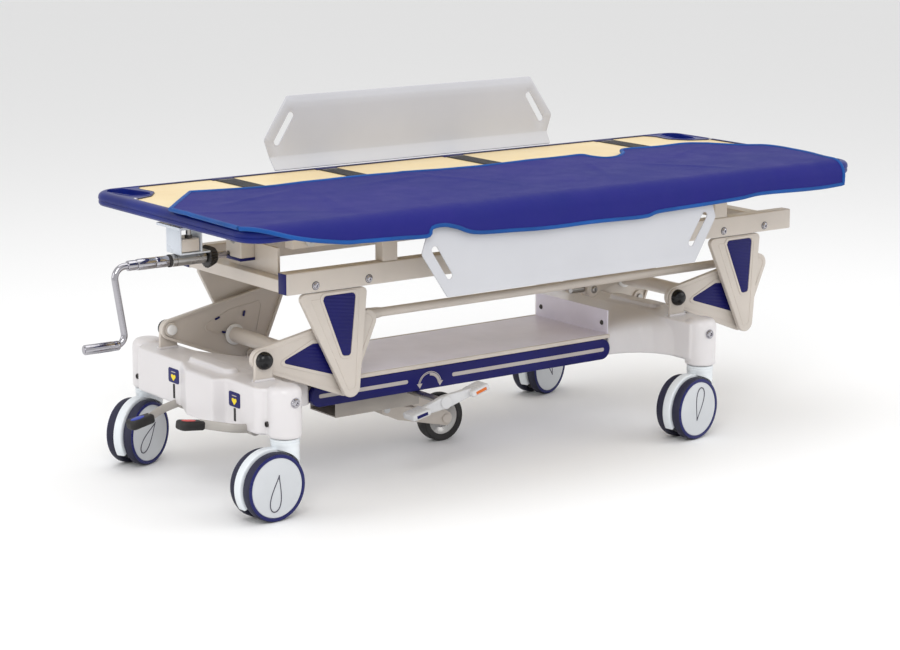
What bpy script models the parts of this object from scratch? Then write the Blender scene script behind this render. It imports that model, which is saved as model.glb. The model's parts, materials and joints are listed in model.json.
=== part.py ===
"""Stretcher trolley with a crank lift, a sliding deck and two folding side guards.

Metres, +Z up. X runs along the trolley from the crank end to the far end, and -Y is the side with
the pedals. The object's origin is on the floor, under the middle of its bounding box. Every helper
below works in the base frame, whose origin is on the floor midway between the four castor stems.
"""

import itertools
import math

import bmesh
import bpy
from mathutils import Matrix, Vector

# ---- driving dimensions -------------------------------------------------------------------------
BASE_X = -0.070            # the base frame's origin, seen from the object's origin
BASE_Y = 0.005
GAP = 0.0003               # between pieces that touch
RUN = 0.0005               # radial clearance of a running fit

STEM_X = 0.596             # castor stems, from the middle of the base
STEM_Y = 0.291
WHEEL_RADIUS = 0.075
WHEEL_TRAIL = 0.047
WHEEL_HALF_WIDTH = 0.0355
HOUSING_HALF_WIDTH = 0.0112
AXLE_RADIUS = 0.008
STEM_RADIUS = 0.010
BARREL_RADIUS = 0.032
CASTOR_TOP = 0.1727
CASTOR_TURNS = {"left_near": 3.4, "right_near": 9.5, "left_far": 24.0, "right_far": 18.0}

SPINE_HALF = 0.140         # half width of the base between its end covers
COVER_INNER_X = 0.433      # where an end cover meets the shelf
COVER_BOTTOM = 0.192
COVER_TOP = 0.272
COVER_WAIST_TOP = 0.245
COVER_BACK_X = 0.548       # where the cover steps down to its waist
PAD_TOP = 0.297            # the raised pad in the middle of a cover
COVER_WALL = 0.004
LEG_RADIUS = 0.037
LEG_BOTTOM = 0.173
LEG_TOP = 0.303
SHELF_Z = 0.2385
SHELF_SHEET = 0.003
SHELF_END_TOP = 0.300
STRIP_LOW = 0.182
STRIP_HIGH = 0.232

ARM_ROOT = (-0.594, 0.324)     # x, z of the left rocker's pivot on the base
ARM_APEX = (-0.376, 0.237)     # the pin that carries the upper frame
ARM_ROD = (-0.315, 0.377)      # the sync rod's pin
ARM_TUBE = (-0.427, 0.293)     # the cross tube between a pair of rockers
REAR_SHIFT = 1.188             # from the left rockers to the right ones
BOSS_RADIUS = 0.024
ROCKER_IN = 0.185              # a rocker plate's inner and outer faces
ROCKER_OUT = 0.197
LUG_IN = 0.1985                 # a pivot lug on an end cover, outside its rocker
LUG_OUT = 0.2065
PIVOT_RADIUS = 0.009
APEX_RADIUS = 0.008
ROD_PIN_RADIUS = 0.006
ROD_Y = -0.140
ROD_RADIUS = 0.011

RAIL_OUT = 0.220
RAIL_IN = 0.188
RAIL_LOW = 0.461
RAIL_HIGH = 0.5095
RAIL_X = (-0.542, 0.955)
RAIL_WALL = 0.0025
POSTS_X = (-0.289, 0.205, 0.700)
POST_LENGTH = 0.040
TRACK_X = (-0.500, 0.920)
TRACK_LOW = 0.553
TRACK_HIGH = 0.583
TRACK_IN = 0.150
TRACK_OUT = 0.180

CRANK_Z = 0.523
CRANK_RADIUS = 0.0075
CRANK_BEND_X = -0.842
GRIP_X = (-0.925, -0.832)
GRIP_Z = 0.355
GRIP_Y = -0.014
GEAR_CASE_X = (-0.553, -0.5155)

DECK_X = (-0.712, 1.060)
DECK_HALF = 0.345
DECK_CORNER = 0.062
DECK_LOW = 0.605
DECK_HIGH = 0.637
PANEL_LOW = 0.612
PANEL_HIGH = 0.634
RUNNER_LOW = 0.588
RIM_WIDTH = 0.020
CARRIAGE_BARS_X = (-0.400, 0.155, 0.700)

GUARD_Y = 0.353                # hinge line of a side guard
GUARD_Z = 0.628
GUARD_MID_X = {"near": 0.160, "far": 0.205}
GUARD_SHEET = 0.003
GUARD_BARREL = 0.005

MAT_LOW = 0.6375
MAT_HIGH = 0.6455
MAT_HEM_Z = 0.575
MAT_SIDE = (-0.3672, -0.3602)  # the flap that hangs over the deck's near edge

STEER_PIVOT = (-0.139, 0.175)  # x, z of the fifth wheel's pedal shaft
STEER_AXLE = (0.050, 0.0583)
STEER_Y = 0.030
STEER_WHEEL_RADIUS = 0.058
STEER_SHAFT_RADIUS = 0.0055
CHANNEL_Y = (-0.110, -0.005)

BRAKE_SHAFT = (-0.628, 0.181)  # x, z
BRAKE_SHAFT_RADIUS = 0.0055

# ---- finishes: colour, roughness, metallic ------------------------------------------------------
FINISHES = {
    "frame_paint": ((0.52, 0.47, 0.41), 0.42, 0.0),
    "cover_white": ((0.80, 0.79, 0.80), 0.35, 0.0),
    "shelf_paint": ((0.46, 0.43, 0.50), 0.45, 0.0),
    "navy_plastic": ((0.018, 0.016, 0.11), 0.40, 0.0),
    "rim_blue": ((0.015, 0.035, 0.21), 0.28, 0.0),
    "panel_cream": ((0.82, 0.69, 0.42), 0.50, 0.0),
    "guard_paint": ((0.60, 0.60, 0.64), 0.38, 0.0),
    "mat_fabric": ((0.045, 0.045, 0.28), 0.70, 0.0),
    "castor_white": ((0.82, 0.86, 0.88), 0.35, 0.0),
    "tyre_grey": ((0.015, 0.017, 0.04), 0.75, 0.0),
    "black_rubber": ((0.025, 0.024, 0.023), 0.80, 0.0),
    "chrome": ((0.75, 0.75, 0.77), 0.12, 1.0),
    "steel": ((0.45, 0.45, 0.46), 0.30, 1.0),
    "lever_grey": ((0.62, 0.63, 0.65), 0.40, 0.0),
    "arm_grey": ((0.35, 0.33, 0.31), 0.50, 0.0),
}

STEPS = 20                 # sides of a large round piece
FINE = 12                  # sides of a small one


def clear_scene():
    for obj in list(bpy.data.objects):
        bpy.data.objects.remove(obj, do_unlink=True)


def collection(name):
    made = bpy.data.collections.new(name)
    bpy.context.scene.collection.children.link(made)
    return made


clear_scene()
PARTS = collection("stretcher_trolley")
CUTTERS = collection("cutters")


def finish(name):
    material = bpy.data.materials.get(name)
    if material is None:
        colour, roughness, metallic = FINISHES[name]
        material = bpy.data.materials.new(name)
        material.use_nodes = True
        shader = material.node_tree.nodes["Principled BSDF"]
        shader.inputs["Base Color"].default_value = (*colour, 1.0)
        shader.inputs["Roughness"].default_value = roughness
        shader.inputs["Metallic"].default_value = metallic
        material.diffuse_color = (*colour, 1.0)
    return material


# ---- frames and joints --------------------------------------------------------------------------
def pivot(name, place, parent=None, turn=0.0):
    """An empty on a joint's axis; what rides on it keeps its base-frame coordinates."""
    empty = bpy.data.objects.new(name, None)
    empty.empty_display_size = 0.05
    PARTS.objects.link(empty)
    empty["place"] = place
    if parent is None:
        empty.location = place
    else:
        empty.parent = parent
        held = Vector(parent["place"]) if parent is not BASE else Vector()
        empty.location = Vector(place) - held
    empty.rotation_euler.z = math.radians(turn)
    return empty


def ride(obj, parent, local=False):
    obj.parent = parent
    if parent is not BASE and not local:
        obj.location = -Vector(parent["place"])
    return obj


BASE = None
BASE = pivot("base_frame", (BASE_X, BASE_Y, 0.0))


# ---- shapes -------------------------------------------------------------------------------------
def made(name, bm, paint, smooth=None):
    bmesh.ops.recalc_face_normals(bm, faces=bm.faces)
    mesh = bpy.data.meshes.new(name)
    bm.to_mesh(mesh)
    bm.free()
    obj = bpy.data.objects.new(name, mesh)
    PARTS.objects.link(obj)
    obj.data.materials.append(finish(paint))
    if smooth is not None:
        mesh.shade_smooth()
        mesh.set_sharp_from_angle(angle=math.radians(smooth))
    return obj


def bevel(obj, width, segments=2, angle=40.0):
    if width:
        rounding = obj.modifiers.new("edges", "BEVEL")
        rounding.width = width
        rounding.segments = segments
        rounding.limit_method = "ANGLE"
        rounding.angle_limit = math.radians(angle)
    return obj


def block(name, paint, x, y, z, edge=0.0):
    bm = bmesh.new()
    bmesh.ops.create_cube(bm, size=1.0)
    size = Vector((x[1] - x[0], y[1] - y[0], z[1] - z[0]))
    middle = Vector((x[0] + x[1], y[0] + y[1], z[0] + z[1])) / 2
    bmesh.ops.transform(bm, matrix=Matrix.Translation(middle) @ Matrix.Diagonal((*size, 1.0)), verts=bm.verts)
    return bevel(made(name, bm, paint), edge)


def drum(name, paint, start, end, radius, tip=None, sides=FINE):
    """A cylinder, or a cone, between two points."""
    start, end = Vector(start), Vector(end)
    way = end - start
    bm = bmesh.new()
    matrix = Matrix.Translation((start + end) / 2) @ way.to_track_quat("Z", "Y").to_matrix().to_4x4()
    bmesh.ops.create_cone(
        bm, cap_ends=True, segments=sides, radius1=radius, radius2=radius if tip is None else tip,
        depth=way.length, matrix=matrix,
    )
    return made(name, bm, paint, smooth=40)


def turned(name, paint, profile, axis="Z", at=(0, 0, 0), sides=STEPS):
    """A (radius, height) profile turned about an axis; it starts and ends on the axis or closes."""
    bm = bmesh.new()
    corners = [bm.verts.new((radius, 0.0, height)) for radius, height in profile]
    for one, other in zip(corners, corners[1:]):
        bm.edges.new((one, other))
    if profile[0][0] > 0:
        bm.edges.new((corners[-1], corners[0]))
    mesh = bpy.data.meshes.new(name)
    bm.to_mesh(mesh)
    bm.free()
    source = bpy.data.objects.new(name + "_profile", mesh)
    CUTTERS.objects.link(source)
    screw = source.modifiers.new("turn", "SCREW")
    screw.steps = sides
    screw.render_steps = sides
    screw.use_merge_vertices = True
    screw.merge_threshold = 0.00001
    turn = {"Z": Matrix(), "X": Matrix.Rotation(math.pi / 2, 4, "Y"), "Y": Matrix.Rotation(-math.pi / 2, 4, "X")}
    return frozen(source, name, paint, Matrix.Translation(at) @ turn[axis], smooth=40)


def frozen(source, name, paint, matrix=None, smooth=None):
    """A mesh object from a curve or a modified object, which is removed."""
    bpy.context.view_layer.update()
    seen = source.evaluated_get(bpy.context.evaluated_depsgraph_get())
    mesh = bpy.data.meshes.new_from_object(seen)
    bm = bmesh.new()
    bm.from_mesh(mesh)
    bpy.data.meshes.remove(mesh)
    bmesh.ops.remove_doubles(bm, verts=bm.verts, dist=0.00001)
    bmesh.ops.transform(bm, matrix=(matrix or Matrix()) @ source.matrix_world, verts=bm.verts)
    bpy.data.objects.remove(source, do_unlink=True)
    return made(name, bm, paint, smooth=smooth)


def slab(name, paint, outline, low, high, axis="Z", holes=(), smooth=30):
    """A flat outline with holes, from low to high along Z, or along Y for an (x, z) outline."""
    curve = bpy.data.curves.new(name + "_outline", "CURVE")
    curve.dimensions = "2D"
    curve.fill_mode = "BOTH"
    curve.extrude = (high - low) / 2
    for loop in (outline, *holes):
        spline = curve.splines.new("POLY")
        spline.points.add(len(loop) - 1)
        for point, (u, v) in zip(spline.points, loop):
            point.co = (u, v, 0.0, 1.0)
        spline.use_cyclic_u = True
    source = bpy.data.objects.new(name + "_outline", curve)
    CUTTERS.objects.link(source)
    middle = (low + high) / 2
    if axis == "Z":
        matrix = Matrix.Translation((0, 0, middle))
    else:
        matrix = Matrix.Translation((0, middle, 0)) @ Matrix.Rotation(math.pi / 2, 4, "X")
    return frozen(source, name, paint, matrix, smooth=smooth)


def rod(name, paint, points, radius, sides=3):
    """A round bar along a path."""
    curve = bpy.data.curves.new(name + "_path", "CURVE")
    curve.dimensions = "3D"
    curve.bevel_depth = radius
    curve.bevel_resolution = sides
    curve.use_fill_caps = True
    spline = curve.splines.new("POLY")
    spline.points.add(len(points) - 1)
    for point, place in zip(spline.points, points):
        point.co = (*place, 1.0)
    source = bpy.data.objects.new(name + "_path", curve)
    CUTTERS.objects.link(source)
    return frozen(source, name, paint, smooth=40)


def combine(obj, other, operation):
    step = obj.modifiers.new(operation.lower(), "BOOLEAN")
    step.object = other
    step.operation = operation
    step.solver = "EXACT"
    other.parent = obj
    PARTS.objects.unlink(other)
    CUTTERS.objects.link(other)
    other.hide_render = True
    other.display_type = "WIRE"
    return obj


def fuse(obj, *others):
    for other in others:
        combine(obj, other, "UNION")
    return obj


def cut(obj, *others):
    for other in others:
        combine(obj, other, "DIFFERENCE")
    return obj


SHAPE_NUMBERS = itertools.count(1)


def helper():
    """A fresh name for a cutter or a joined shape."""
    return f"shape_{next(SHAPE_NUMBERS):03d}"


# ---- outlines -----------------------------------------------------------------------------------
def arc(middle, radius, start, end, count):
    """Points on a circle between two angles in degrees."""
    angles = [math.radians(start + (end - start) * k / count) for k in range(count + 1)]
    return [(middle[0] + radius * math.cos(a), middle[1] + radius * math.sin(a)) for a in angles]


def circle(middle, radius, count=FINE):
    return arc(middle, radius, 0, 360, count)[:-1]


def rounded(points, radii, count=4, closed=True):
    """Corners replaced by arcs. Each point is a tuple of 2 or 3 numbers."""
    size = len(points[0])
    corners = [Vector((*point, 0.0)) if size == 2 else Vector(point) for point in points]
    radii = radii if isinstance(radii, (list, tuple)) else [radii] * len(points)
    line = []
    for k, (corner, radius) in enumerate(zip(corners, radii)):
        if radius == 0 or (not closed and k in (0, len(corners) - 1)):
            line.append(corner)
            continue
        back = (corners[k - 1] - corner).normalized()
        ahead = (corners[(k + 1) % len(corners)] - corner).normalized()
        half = back.angle(ahead) / 2
        centre = corner + (back + ahead).normalized() * radius / math.sin(half)
        first = (corner + back * radius / math.tan(half) - centre).normalized()
        last = (corner + ahead * radius / math.tan(half) - centre).normalized()
        line += [centre + first.slerp(last, step / count) * radius for step in range(count + 1)]
    return [tuple(point[:size]) for point in line]


def hull(circles, count=16):
    """The outline of a belt around (x, z, radius) circles."""
    points = []
    for x, z, radius in circles:
        points += circle((x, z), radius, count)
    points = sorted(set(points))

    def half(line):
        kept = []
        for point in line:
            while len(kept) > 1 and turn_of(kept[-2], kept[-1], point) <= 1e-9:
                kept.pop()
            kept.append(point)
        return kept[:-1]

    return half(points) + half(points[::-1])


def turn_of(a, b, c):
    return (b[0] - a[0]) * (c[1] - a[1]) - (b[1] - a[1]) * (c[0] - a[0])


def area(line):
    return sum(a[0] * b[1] - b[0] * a[1] for a, b in zip(line, line[1:] + line[:1])) / 2


def grown(outline, distance):
    """An outline moved outwards, or inwards where distance is negative."""
    outline = outline if area(outline) > 0 else outline[::-1]
    moved = []
    for k, point in enumerate(outline):
        here = Vector(point)
        back = (here - Vector(outline[k - 1])).normalized()
        ahead = (Vector(outline[(k + 1) % len(outline)]) - here).normalized()
        out = Vector((back.y + ahead.y, -back.x - ahead.x)).normalized()
        moved.append(tuple(here + out * distance / max(0.4, out.dot(Vector((back.y, -back.x))))))
    return moved


def oblong(middle, length, width, angle, count=8):
    """A slot with round ends; its length lies at an angle in degrees."""
    way = Vector((math.cos(math.radians(angle)), math.sin(math.radians(angle)))) * (length - width) / 2
    ends = (Vector(middle) + way, Vector(middle) - way)
    return arc(ends[0], width / 2, angle - 90, angle + 90, count) + arc(
        ends[1], width / 2, angle + 90, angle + 270, count
    )


def sides():
    return (("near", -1), ("far", 1))


def span(side, inner, outer):
    """The Y interval between two distances from the middle, on one side."""
    return (-outer, -inner) if side < 0 else (inner, outer)


# ---- castors ------------------------------------------------------------------------------------
def castor(corner, x, y):
    swivel = pivot(f"castor_swivel_{corner}", (x, y, 0.0), BASE, CASTOR_TURNS[corner])
    axle = (-WHEEL_TRAIL, WHEEL_RADIUS)
    fender = WHEEL_RADIUS + 0.006
    outline = arc(axle, fender, 34, 214, 20) + arc(axle, 0.020, 235, 330, 5)
    housing = slab(
        f"castor_housing_{corner}", "castor_white", outline, -HOUSING_HALF_WIDTH, HOUSING_HALF_WIDTH, "Y",
        holes=[circle(axle, AXLE_RADIUS + RUN)],
    )
    low = WHEEL_RADIUS * 2 + 0.0012
    barrel = turned(
        helper(), "castor_white",
        [(0, CASTOR_TOP + 0.040), (STEM_RADIUS, CASTOR_TOP + 0.040), (STEM_RADIUS, CASTOR_TOP),
         (BARREL_RADIUS, CASTOR_TOP), (BARREL_RADIUS, low + 0.006), (BARREL_RADIUS - 0.006, low), (0, low)],
        sides=STEPS,
    )
    neck = block(helper(), "castor_white", (-0.018, 0.012), (-0.008, 0.008), (0.12, low + 0.003))
    fuse(housing, neck, barrel)
    ride(housing, swivel, local=True)

    spin = pivot(f"castor_axle_{corner}", (0, 0, 0), BASE)
    spin.parent = swivel
    spin.location = (axle[0], 0.0, axle[1])
    edge = 0.005
    inner = HOUSING_HALF_WIDTH + 0.001
    wheel = turned(
        f"castor_wheels_{corner}", "tyre_grey",
        [(0, WHEEL_HALF_WIDTH), (WHEEL_RADIUS - edge, WHEEL_HALF_WIDTH), (WHEEL_RADIUS, WHEEL_HALF_WIDTH - edge),
         (WHEEL_RADIUS, inner + edge), (WHEEL_RADIUS - edge, inner), (AXLE_RADIUS, inner), (AXLE_RADIUS, -inner),
         (WHEEL_RADIUS - edge, -inner), (WHEEL_RADIUS, -inner - edge), (WHEEL_RADIUS, edge - WHEEL_HALF_WIDTH),
         (WHEEL_RADIUS - edge, -WHEEL_HALF_WIDTH), (0, -WHEEL_HALF_WIDTH)],
        axis="Y", sides=32,
    )
    ride(wheel, spin, local=True)


def castors():
    for end, x in (("left", -STEM_X), ("right", STEM_X)):
        for side, sign in sides():
            castor(f"{end}_{side}", x, sign * STEM_Y)


# ---- base ---------------------------------------------------------------------------------------
def chassis():
    frame = block("chassis", "frame_paint", (-0.600, 0.600), (-0.130, -0.090), (0.190, 0.2275))
    fuse(frame, block(helper(), "frame_paint", (-0.600, 0.600), (0.090, 0.130), (0.190, 0.2275)))
    for end in (-1, 1):
        across = (end * STEM_X - 0.026, end * STEM_X + 0.026)
        fuse(frame, block(helper(), "frame_paint", across, (-0.266, 0.266), (0.203, 0.262)))
        for _, sign in sides():
            place = (end * STEM_X, sign * STEM_Y)
            fuse(frame, drum(helper(), "frame_paint", (*place, 0.1735), (*place, 0.275), 0.030, sides=STEPS))
            cut(frame, drum(helper(), "frame_paint", (*place, 0.160), (*place, 0.220), STEM_RADIUS + RUN))
    ride(frame, BASE)


def cover_outline(end, waist):
    """Plan of an end cover: a leg at each corner, a bulged front, and a waist that meets the shelf."""
    front = -0.646
    if waist:
        points = [(-COVER_INNER_X, SPINE_HALF), (-0.500, 0.158), (-COVER_BACK_X, 0.215), (-0.558, STEM_Y)]
        half = rounded(points, [0, 0.10, 0.09, 0], closed=False)
    else:
        half = [(-COVER_BACK_X, 0.205), (-0.558, STEM_Y)]
    leg = arc((-STEM_X, STEM_Y), LEG_RADIUS - 0.002, 10, 160, 9)
    face = [(front, 0.245), (front, 0.085), (-0.672, 0.050), (-0.676, -0.040), (-0.672, -0.130), (front, -0.165),
            (front, -0.245)]
    face = rounded(face, [0.02, 0.02, 0.03, 0, 0.03, 0.02, 0.02], closed=False)
    near = [(x, -y) for x, y in (half + leg)[::-1]]
    line = half + leg + face + near
    if end > 0:
        line = [(-x, y) for x, y in line][::-1]
    return line if area(line) > 0 else line[::-1]


def end_cover(name, end):
    paint = "cover_white"
    low = cover_outline(end, True)
    high = grown(cover_outline(end, False), -0.0006)
    cover = slab(name, paint, low, COVER_BOTTOM, COVER_WAIST_TOP)
    fuse(cover, slab(helper(), paint, high, COVER_BOTTOM + 0.002, COVER_TOP))
    pad = rounded([(0.570, 0.128), (0.570, -0.128), (0.652, -0.128), (0.652, 0.128)], 0.020)
    fuse(cover, slab(helper(), paint, [(end * x, y) for x, y in pad], COVER_TOP - 0.002, PAD_TOP))
    places = [(end * STEM_X, sign * STEM_Y) for _, sign in sides()]
    for place in places:
        leg = turned(
            helper(), paint,
            [(0, LEG_TOP), (LEG_RADIUS - 0.014, LEG_TOP - 0.001), (LEG_RADIUS - 0.004, LEG_TOP - 0.007),
             (LEG_RADIUS, LEG_TOP - 0.016), (LEG_RADIUS, LEG_BOTTOM), (0, LEG_BOTTOM)],
            at=(*place, 0.0), sides=24,
        )
        fuse(cover, leg)
    cut(cover, slab(helper(), paint, grown(low, -COVER_WALL), 0.15, COVER_WAIST_TOP - COVER_WALL))
    cut(cover, slab(helper(), paint, grown(high, -COVER_WALL), 0.155, COVER_TOP - COVER_WALL))
    for place in places:
        bore = drum(helper(), paint, (*place, 0.145), (*place, 0.288), LEG_RADIUS - COVER_WALL, sides=24)
        cut(cover, bore)
    across = span(end, STEM_X - 0.030, STEM_X + 0.030)
    cut(cover, block(helper(), paint, across, (-0.270, 0.270), (0.195, COVER_TOP - COVER_WALL - 0.0005)))
    waist = span(end, COVER_INNER_X - 0.01, COVER_INNER_X + 0.01)
    cut(cover, block(helper(), paint, waist, (-SPINE_HALF + 0.005, SPINE_HALF - 0.005), (0.14, 0.231)))
    if end < 0:
        for y in (0.067, -0.192):
            cut(cover, block(helper(), paint, (-0.70, -0.63), (y - 0.004, y + 0.004), (0.200, 0.221)))
    ride(cover, BASE)


def shelf():
    """A folded sheet, with an end that stands up at the right."""
    right = COVER_INNER_X - GAP
    low, high = SHELF_Z, SHELF_Z + SHELF_SHEET
    outline = [(-right, low), (right, low), (right, SHELF_END_TOP), (right - SHELF_SHEET, SHELF_END_TOP),
               (right - SHELF_SHEET, high), (-right, high)]
    ride(slab("shelf", "shelf_paint", outline, -0.139, 0.139, "Y", smooth=None), BASE)


def side_strips():
    middle = (STRIP_LOW + STRIP_HIGH) / 2
    for side, sign in sides():
        y = span(sign, 0.130 + GAP, 0.147)
        outline = oblong((0.0, middle), 2 * COVER_INNER_X, STRIP_HIGH - STRIP_LOW, 0)
        strip = slab(f"side_strip_{side}", "navy_plastic", outline, *y, "Y")
        ride(strip, BASE)


def rocker_brackets():
    """Lugs on the end covers, outside the rockers, and the headed pins that the rockers turn on."""
    for end, shift in (("left", 0.0), ("right", REAR_SHIFT)):
        x, z = ARM_ROOT[0] + shift, ARM_ROOT[1]
        foot_z = COVER_TOP + GAP
        outline = hull([(x, z, 0.021), (x - 0.013, foot_z + 0.0105, 0.010), (x + 0.013, foot_z + 0.0105, 0.010)])
        for side, sign in sides():
            lug = slab(f"rocker_bracket_{end}_{side}", "frame_paint", outline, *span(sign, LUG_IN, LUG_OUT), "Y")
            flange = block(
                helper(), "frame_paint", (x - 0.025, x + 0.025), span(sign, LUG_IN, LUG_OUT + 0.006),
                (foot_z, foot_z + 0.004),
            )
            bore = drum(
                helper(), "frame_paint", (x, sign * 0.190, z), (x, sign * 0.215, z), PIVOT_RADIUS + RUN, sides=16
            )
            ride(cut(fuse(lug, flange), bore), BASE)
            head, button = LUG_OUT + 0.0005, ROCKER_IN - 0.0005
            profile = [
                (0, head + 0.0185), (0.009, head + 0.0175), (0.016, head + 0.0140), (0.0195, head + 0.0080),
                (0.020, head), (PIVOT_RADIUS, head), (PIVOT_RADIUS, button), (0.012, button),
                (0.012, button - 0.007), (0, button - 0.007),
            ]
            if sign < 0:
                profile = [(radius, -y) for radius, y in profile]
            ride(turned(f"rocker_pin_{end}_{side}", "black_rubber", profile, "Y", (x, 0, z), sides=16), BASE)


# ---- lift ---------------------------------------------------------------------------------------
def rocker(end, side, sign, joint):
    shift = REAR_SHIFT if end == "right" else 0.0
    corners = [(x + shift, z) for x, z in (ARM_ROOT, ARM_APEX, ARM_ROD)]
    holes = [circle(corners[0], PIVOT_RADIUS + RUN, 20), circle(corners[1], APEX_RADIUS + RUN, 20)]
    outline = hull([(x, z, BOSS_RADIUS) for x, z in corners])
    plate = slab(
        f"rocker_{end}_{side}", "frame_paint", outline, *span(sign, ROCKER_IN, ROCKER_OUT), "Y", holes=holes
    )
    if sign < 0:
        x, z = corners[2]
        fuse(plate, drum(helper(), "steel", (x, -0.190, z), (x, -0.1300, z), ROD_PIN_RADIUS))
    ride(plate, joint)


def rockers(end, joint):
    for side, sign in sides():
        rocker(end, side, sign, joint)
    shift = REAR_SHIFT if end == "right" else 0.0
    x, z = ARM_TUBE[0] + shift, ARM_TUBE[1]
    reach = ROCKER_IN - GAP
    tube = drum(f"cross_tube_{end}", "frame_paint", (x, -reach, z), (x, reach, z), 0.018, sides=20)
    ride(tube, joint)


def sync_rod(joint):
    left, right = ARM_ROD, (ARM_ROD[0] + REAR_SHIFT, ARM_ROD[1])
    ends = (left[0] + 0.030, ROD_Y, left[1]), (right[0] - 0.030, ROD_Y, right[1])
    bar = drum("sync_rod", "frame_paint", *ends, ROD_RADIUS)
    for (x, z), way in ((left, 1), (right, -1)):
        eye = slab(
            helper(), "frame_paint", hull([(x, z, 0.017), (x + way * 0.045, z, 0.012)]),
            ROD_Y - 0.0055, ROD_Y + 0.0055, "Y",
        )
        fuse(bar, eye)
        hole = drum(helper(), "steel", (x, ROD_Y - 0.02, z), (x, ROD_Y + 0.02, z), ROD_PIN_RADIUS + RUN)
        cut(bar, hole)
    ride(bar, joint)


def upper_triangle(end, side, sign, joint):
    """A hanger under a rail, with the pin that its rocker carries."""
    if end == "left":
        top, apex = (-0.505, -0.332), (-0.374, ARM_APEX[1])
    else:
        top, apex = (0.688, 0.852), (ARM_APEX[0] + REAR_SHIFT, ARM_APEX[1])
    corner = 0.012
    outline = hull([
        (apex[0], apex[1], 0.023), (top[0] + corner, RAIL_LOW - 0.002 - corner, corner),
        (top[1] - corner, RAIL_LOW - 0.002 - corner, corner),
    ])
    plate = slab(f"hanger_{end}_{side}", "frame_paint", outline, *span(sign, 0.2075, RAIL_OUT), "Y")
    x = ARM_APEX[0] + (REAR_SHIFT if end == "right" else 0.0)
    pin = drum(helper(), "steel", (x, sign * 0.210, ARM_APEX[1]), (x, sign * 0.180, ARM_APEX[1]), APEX_RADIUS)
    ride(fuse(plate, pin), joint)


def upper_frame(joint):
    for side, sign in sides():
        wide = span(sign, RAIL_IN, RAIL_OUT)
        rail = block(f"rail_{side}", "frame_paint", RAIL_X, wide, (RAIL_LOW, RAIL_HIGH), 0.003)
        core = block(
            helper(), "frame_paint", (RAIL_X[0] - 0.01, RAIL_X[1] + 0.01),
            span(sign, RAIL_IN + RAIL_WALL, RAIL_OUT - RAIL_WALL), (RAIL_LOW + RAIL_WALL, RAIL_HIGH - RAIL_WALL),
        )
        ride(cut(rail, core), joint)
        for end in ("left", "right"):
            upper_triangle(end, side, sign, joint)
        wide = span(sign, TRACK_IN, TRACK_OUT)
        track = block(f"deck_track_{side}", "frame_paint", TRACK_X, wide, (TRACK_LOW, TRACK_HIGH))
        for x in POSTS_X:
            along = (x, x + POST_LENGTH)
            post = block(helper(), "frame_paint", along, span(sign, 0.1895, 0.2185), (RAIL_HIGH + GAP, 0.579))
            bridge = block(helper(), "frame_paint", along, span(sign, TRACK_OUT - 0.010, 0.200), (0.557, 0.576))
            fuse(track, post, bridge)
        ride(track, joint)
    reach = RAIL_IN - GAP
    for name, x in (("cross_beam_left", -0.542), ("cross_beam_right", 0.905)):
        ride(block(name, "frame_paint", (x, x + 0.040), (-reach, reach), (0.463, 0.492), 0.002), joint)


def crank_gear(joint):
    """The crank's bearing, its hanger, and the case that its shaft drives the lift screw in."""
    tube = turned(
        "crank_bearing", "steel",
        [(0.0140, 0.085), (0.0140, 0.0), (CRANK_RADIUS + RUN, 0.0), (CRANK_RADIUS + RUN, 0.085)],
        "X", (-0.6995, 0, CRANK_Z), sides=20,
    )
    ride(tube, joint)
    hanger = block("crank_hanger", "cover_white", (-0.705, -0.610), (-0.050, 0.050), (0.596, 0.602))
    saddle = CRANK_Z + 0.0140 + 2 * GAP
    for x in (-0.692, -0.640):
        fuse(hanger, block(helper(), "cover_white", (x, x + 0.004), (-0.030, 0.030), (saddle, 0.598)))
    fuse(hanger, block(helper(), "cover_white", (-0.692, -0.616), (-0.030, 0.030), (saddle, saddle + 0.004)))
    ride(hanger, joint)
    plate = block("gear_case", "frame_paint", (-0.5160, -0.5100), (-0.145, 0.055), (0.4925, 0.5525))
    box = block(helper(), "frame_paint", GEAR_CASE_X, (-0.052, 0.010), (0.512, 0.596), 0.003)
    fuse(plate, box)
    cut(plate, drum(
        helper(), "frame_paint", (-0.560, 0.0, CRANK_Z), (-0.525, 0.0, CRANK_Z), CRANK_RADIUS + RUN
    ))
    ride(plate, joint)


def crank(joint):
    path = rounded(
        [(-0.530, 0.0, CRANK_Z), (CRANK_BEND_X, 0.0, CRANK_Z), (-0.822, GRIP_Y, GRIP_Z),
         (GRIP_X[0], GRIP_Y, GRIP_Z)],
        [0, 0.022, 0.012, 0], count=5, closed=False,
    )
    bar = rod("crank", "chrome", path, CRANK_RADIUS, 3)
    sleeve = drum(helper(), "chrome", (-0.807, 0, CRANK_Z), (-0.7005, 0, CRANK_Z), 0.0125, sides=20)
    gear = drum(helper(), "steel", (-0.612, 0, CRANK_Z), (-0.585, 0, CRANK_Z), 0.026, 0.017, sides=20)
    fuse(bar, sleeve, gear)
    ride(bar, joint)


def crank_grip(joint):
    grip = turned(
        "crank_grip", "chrome",
        [(0.0095, 0.085), (0.0110, 0.080), (0.0110, 0.005), (0.0095, 0.0), (CRANK_RADIUS + RUN, 0.0),
         (CRANK_RADIUS + RUN, 0.085)],
        "X", (-0.924, GRIP_Y, GRIP_Z), sides=16,
    )
    ride(grip, joint)


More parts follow.
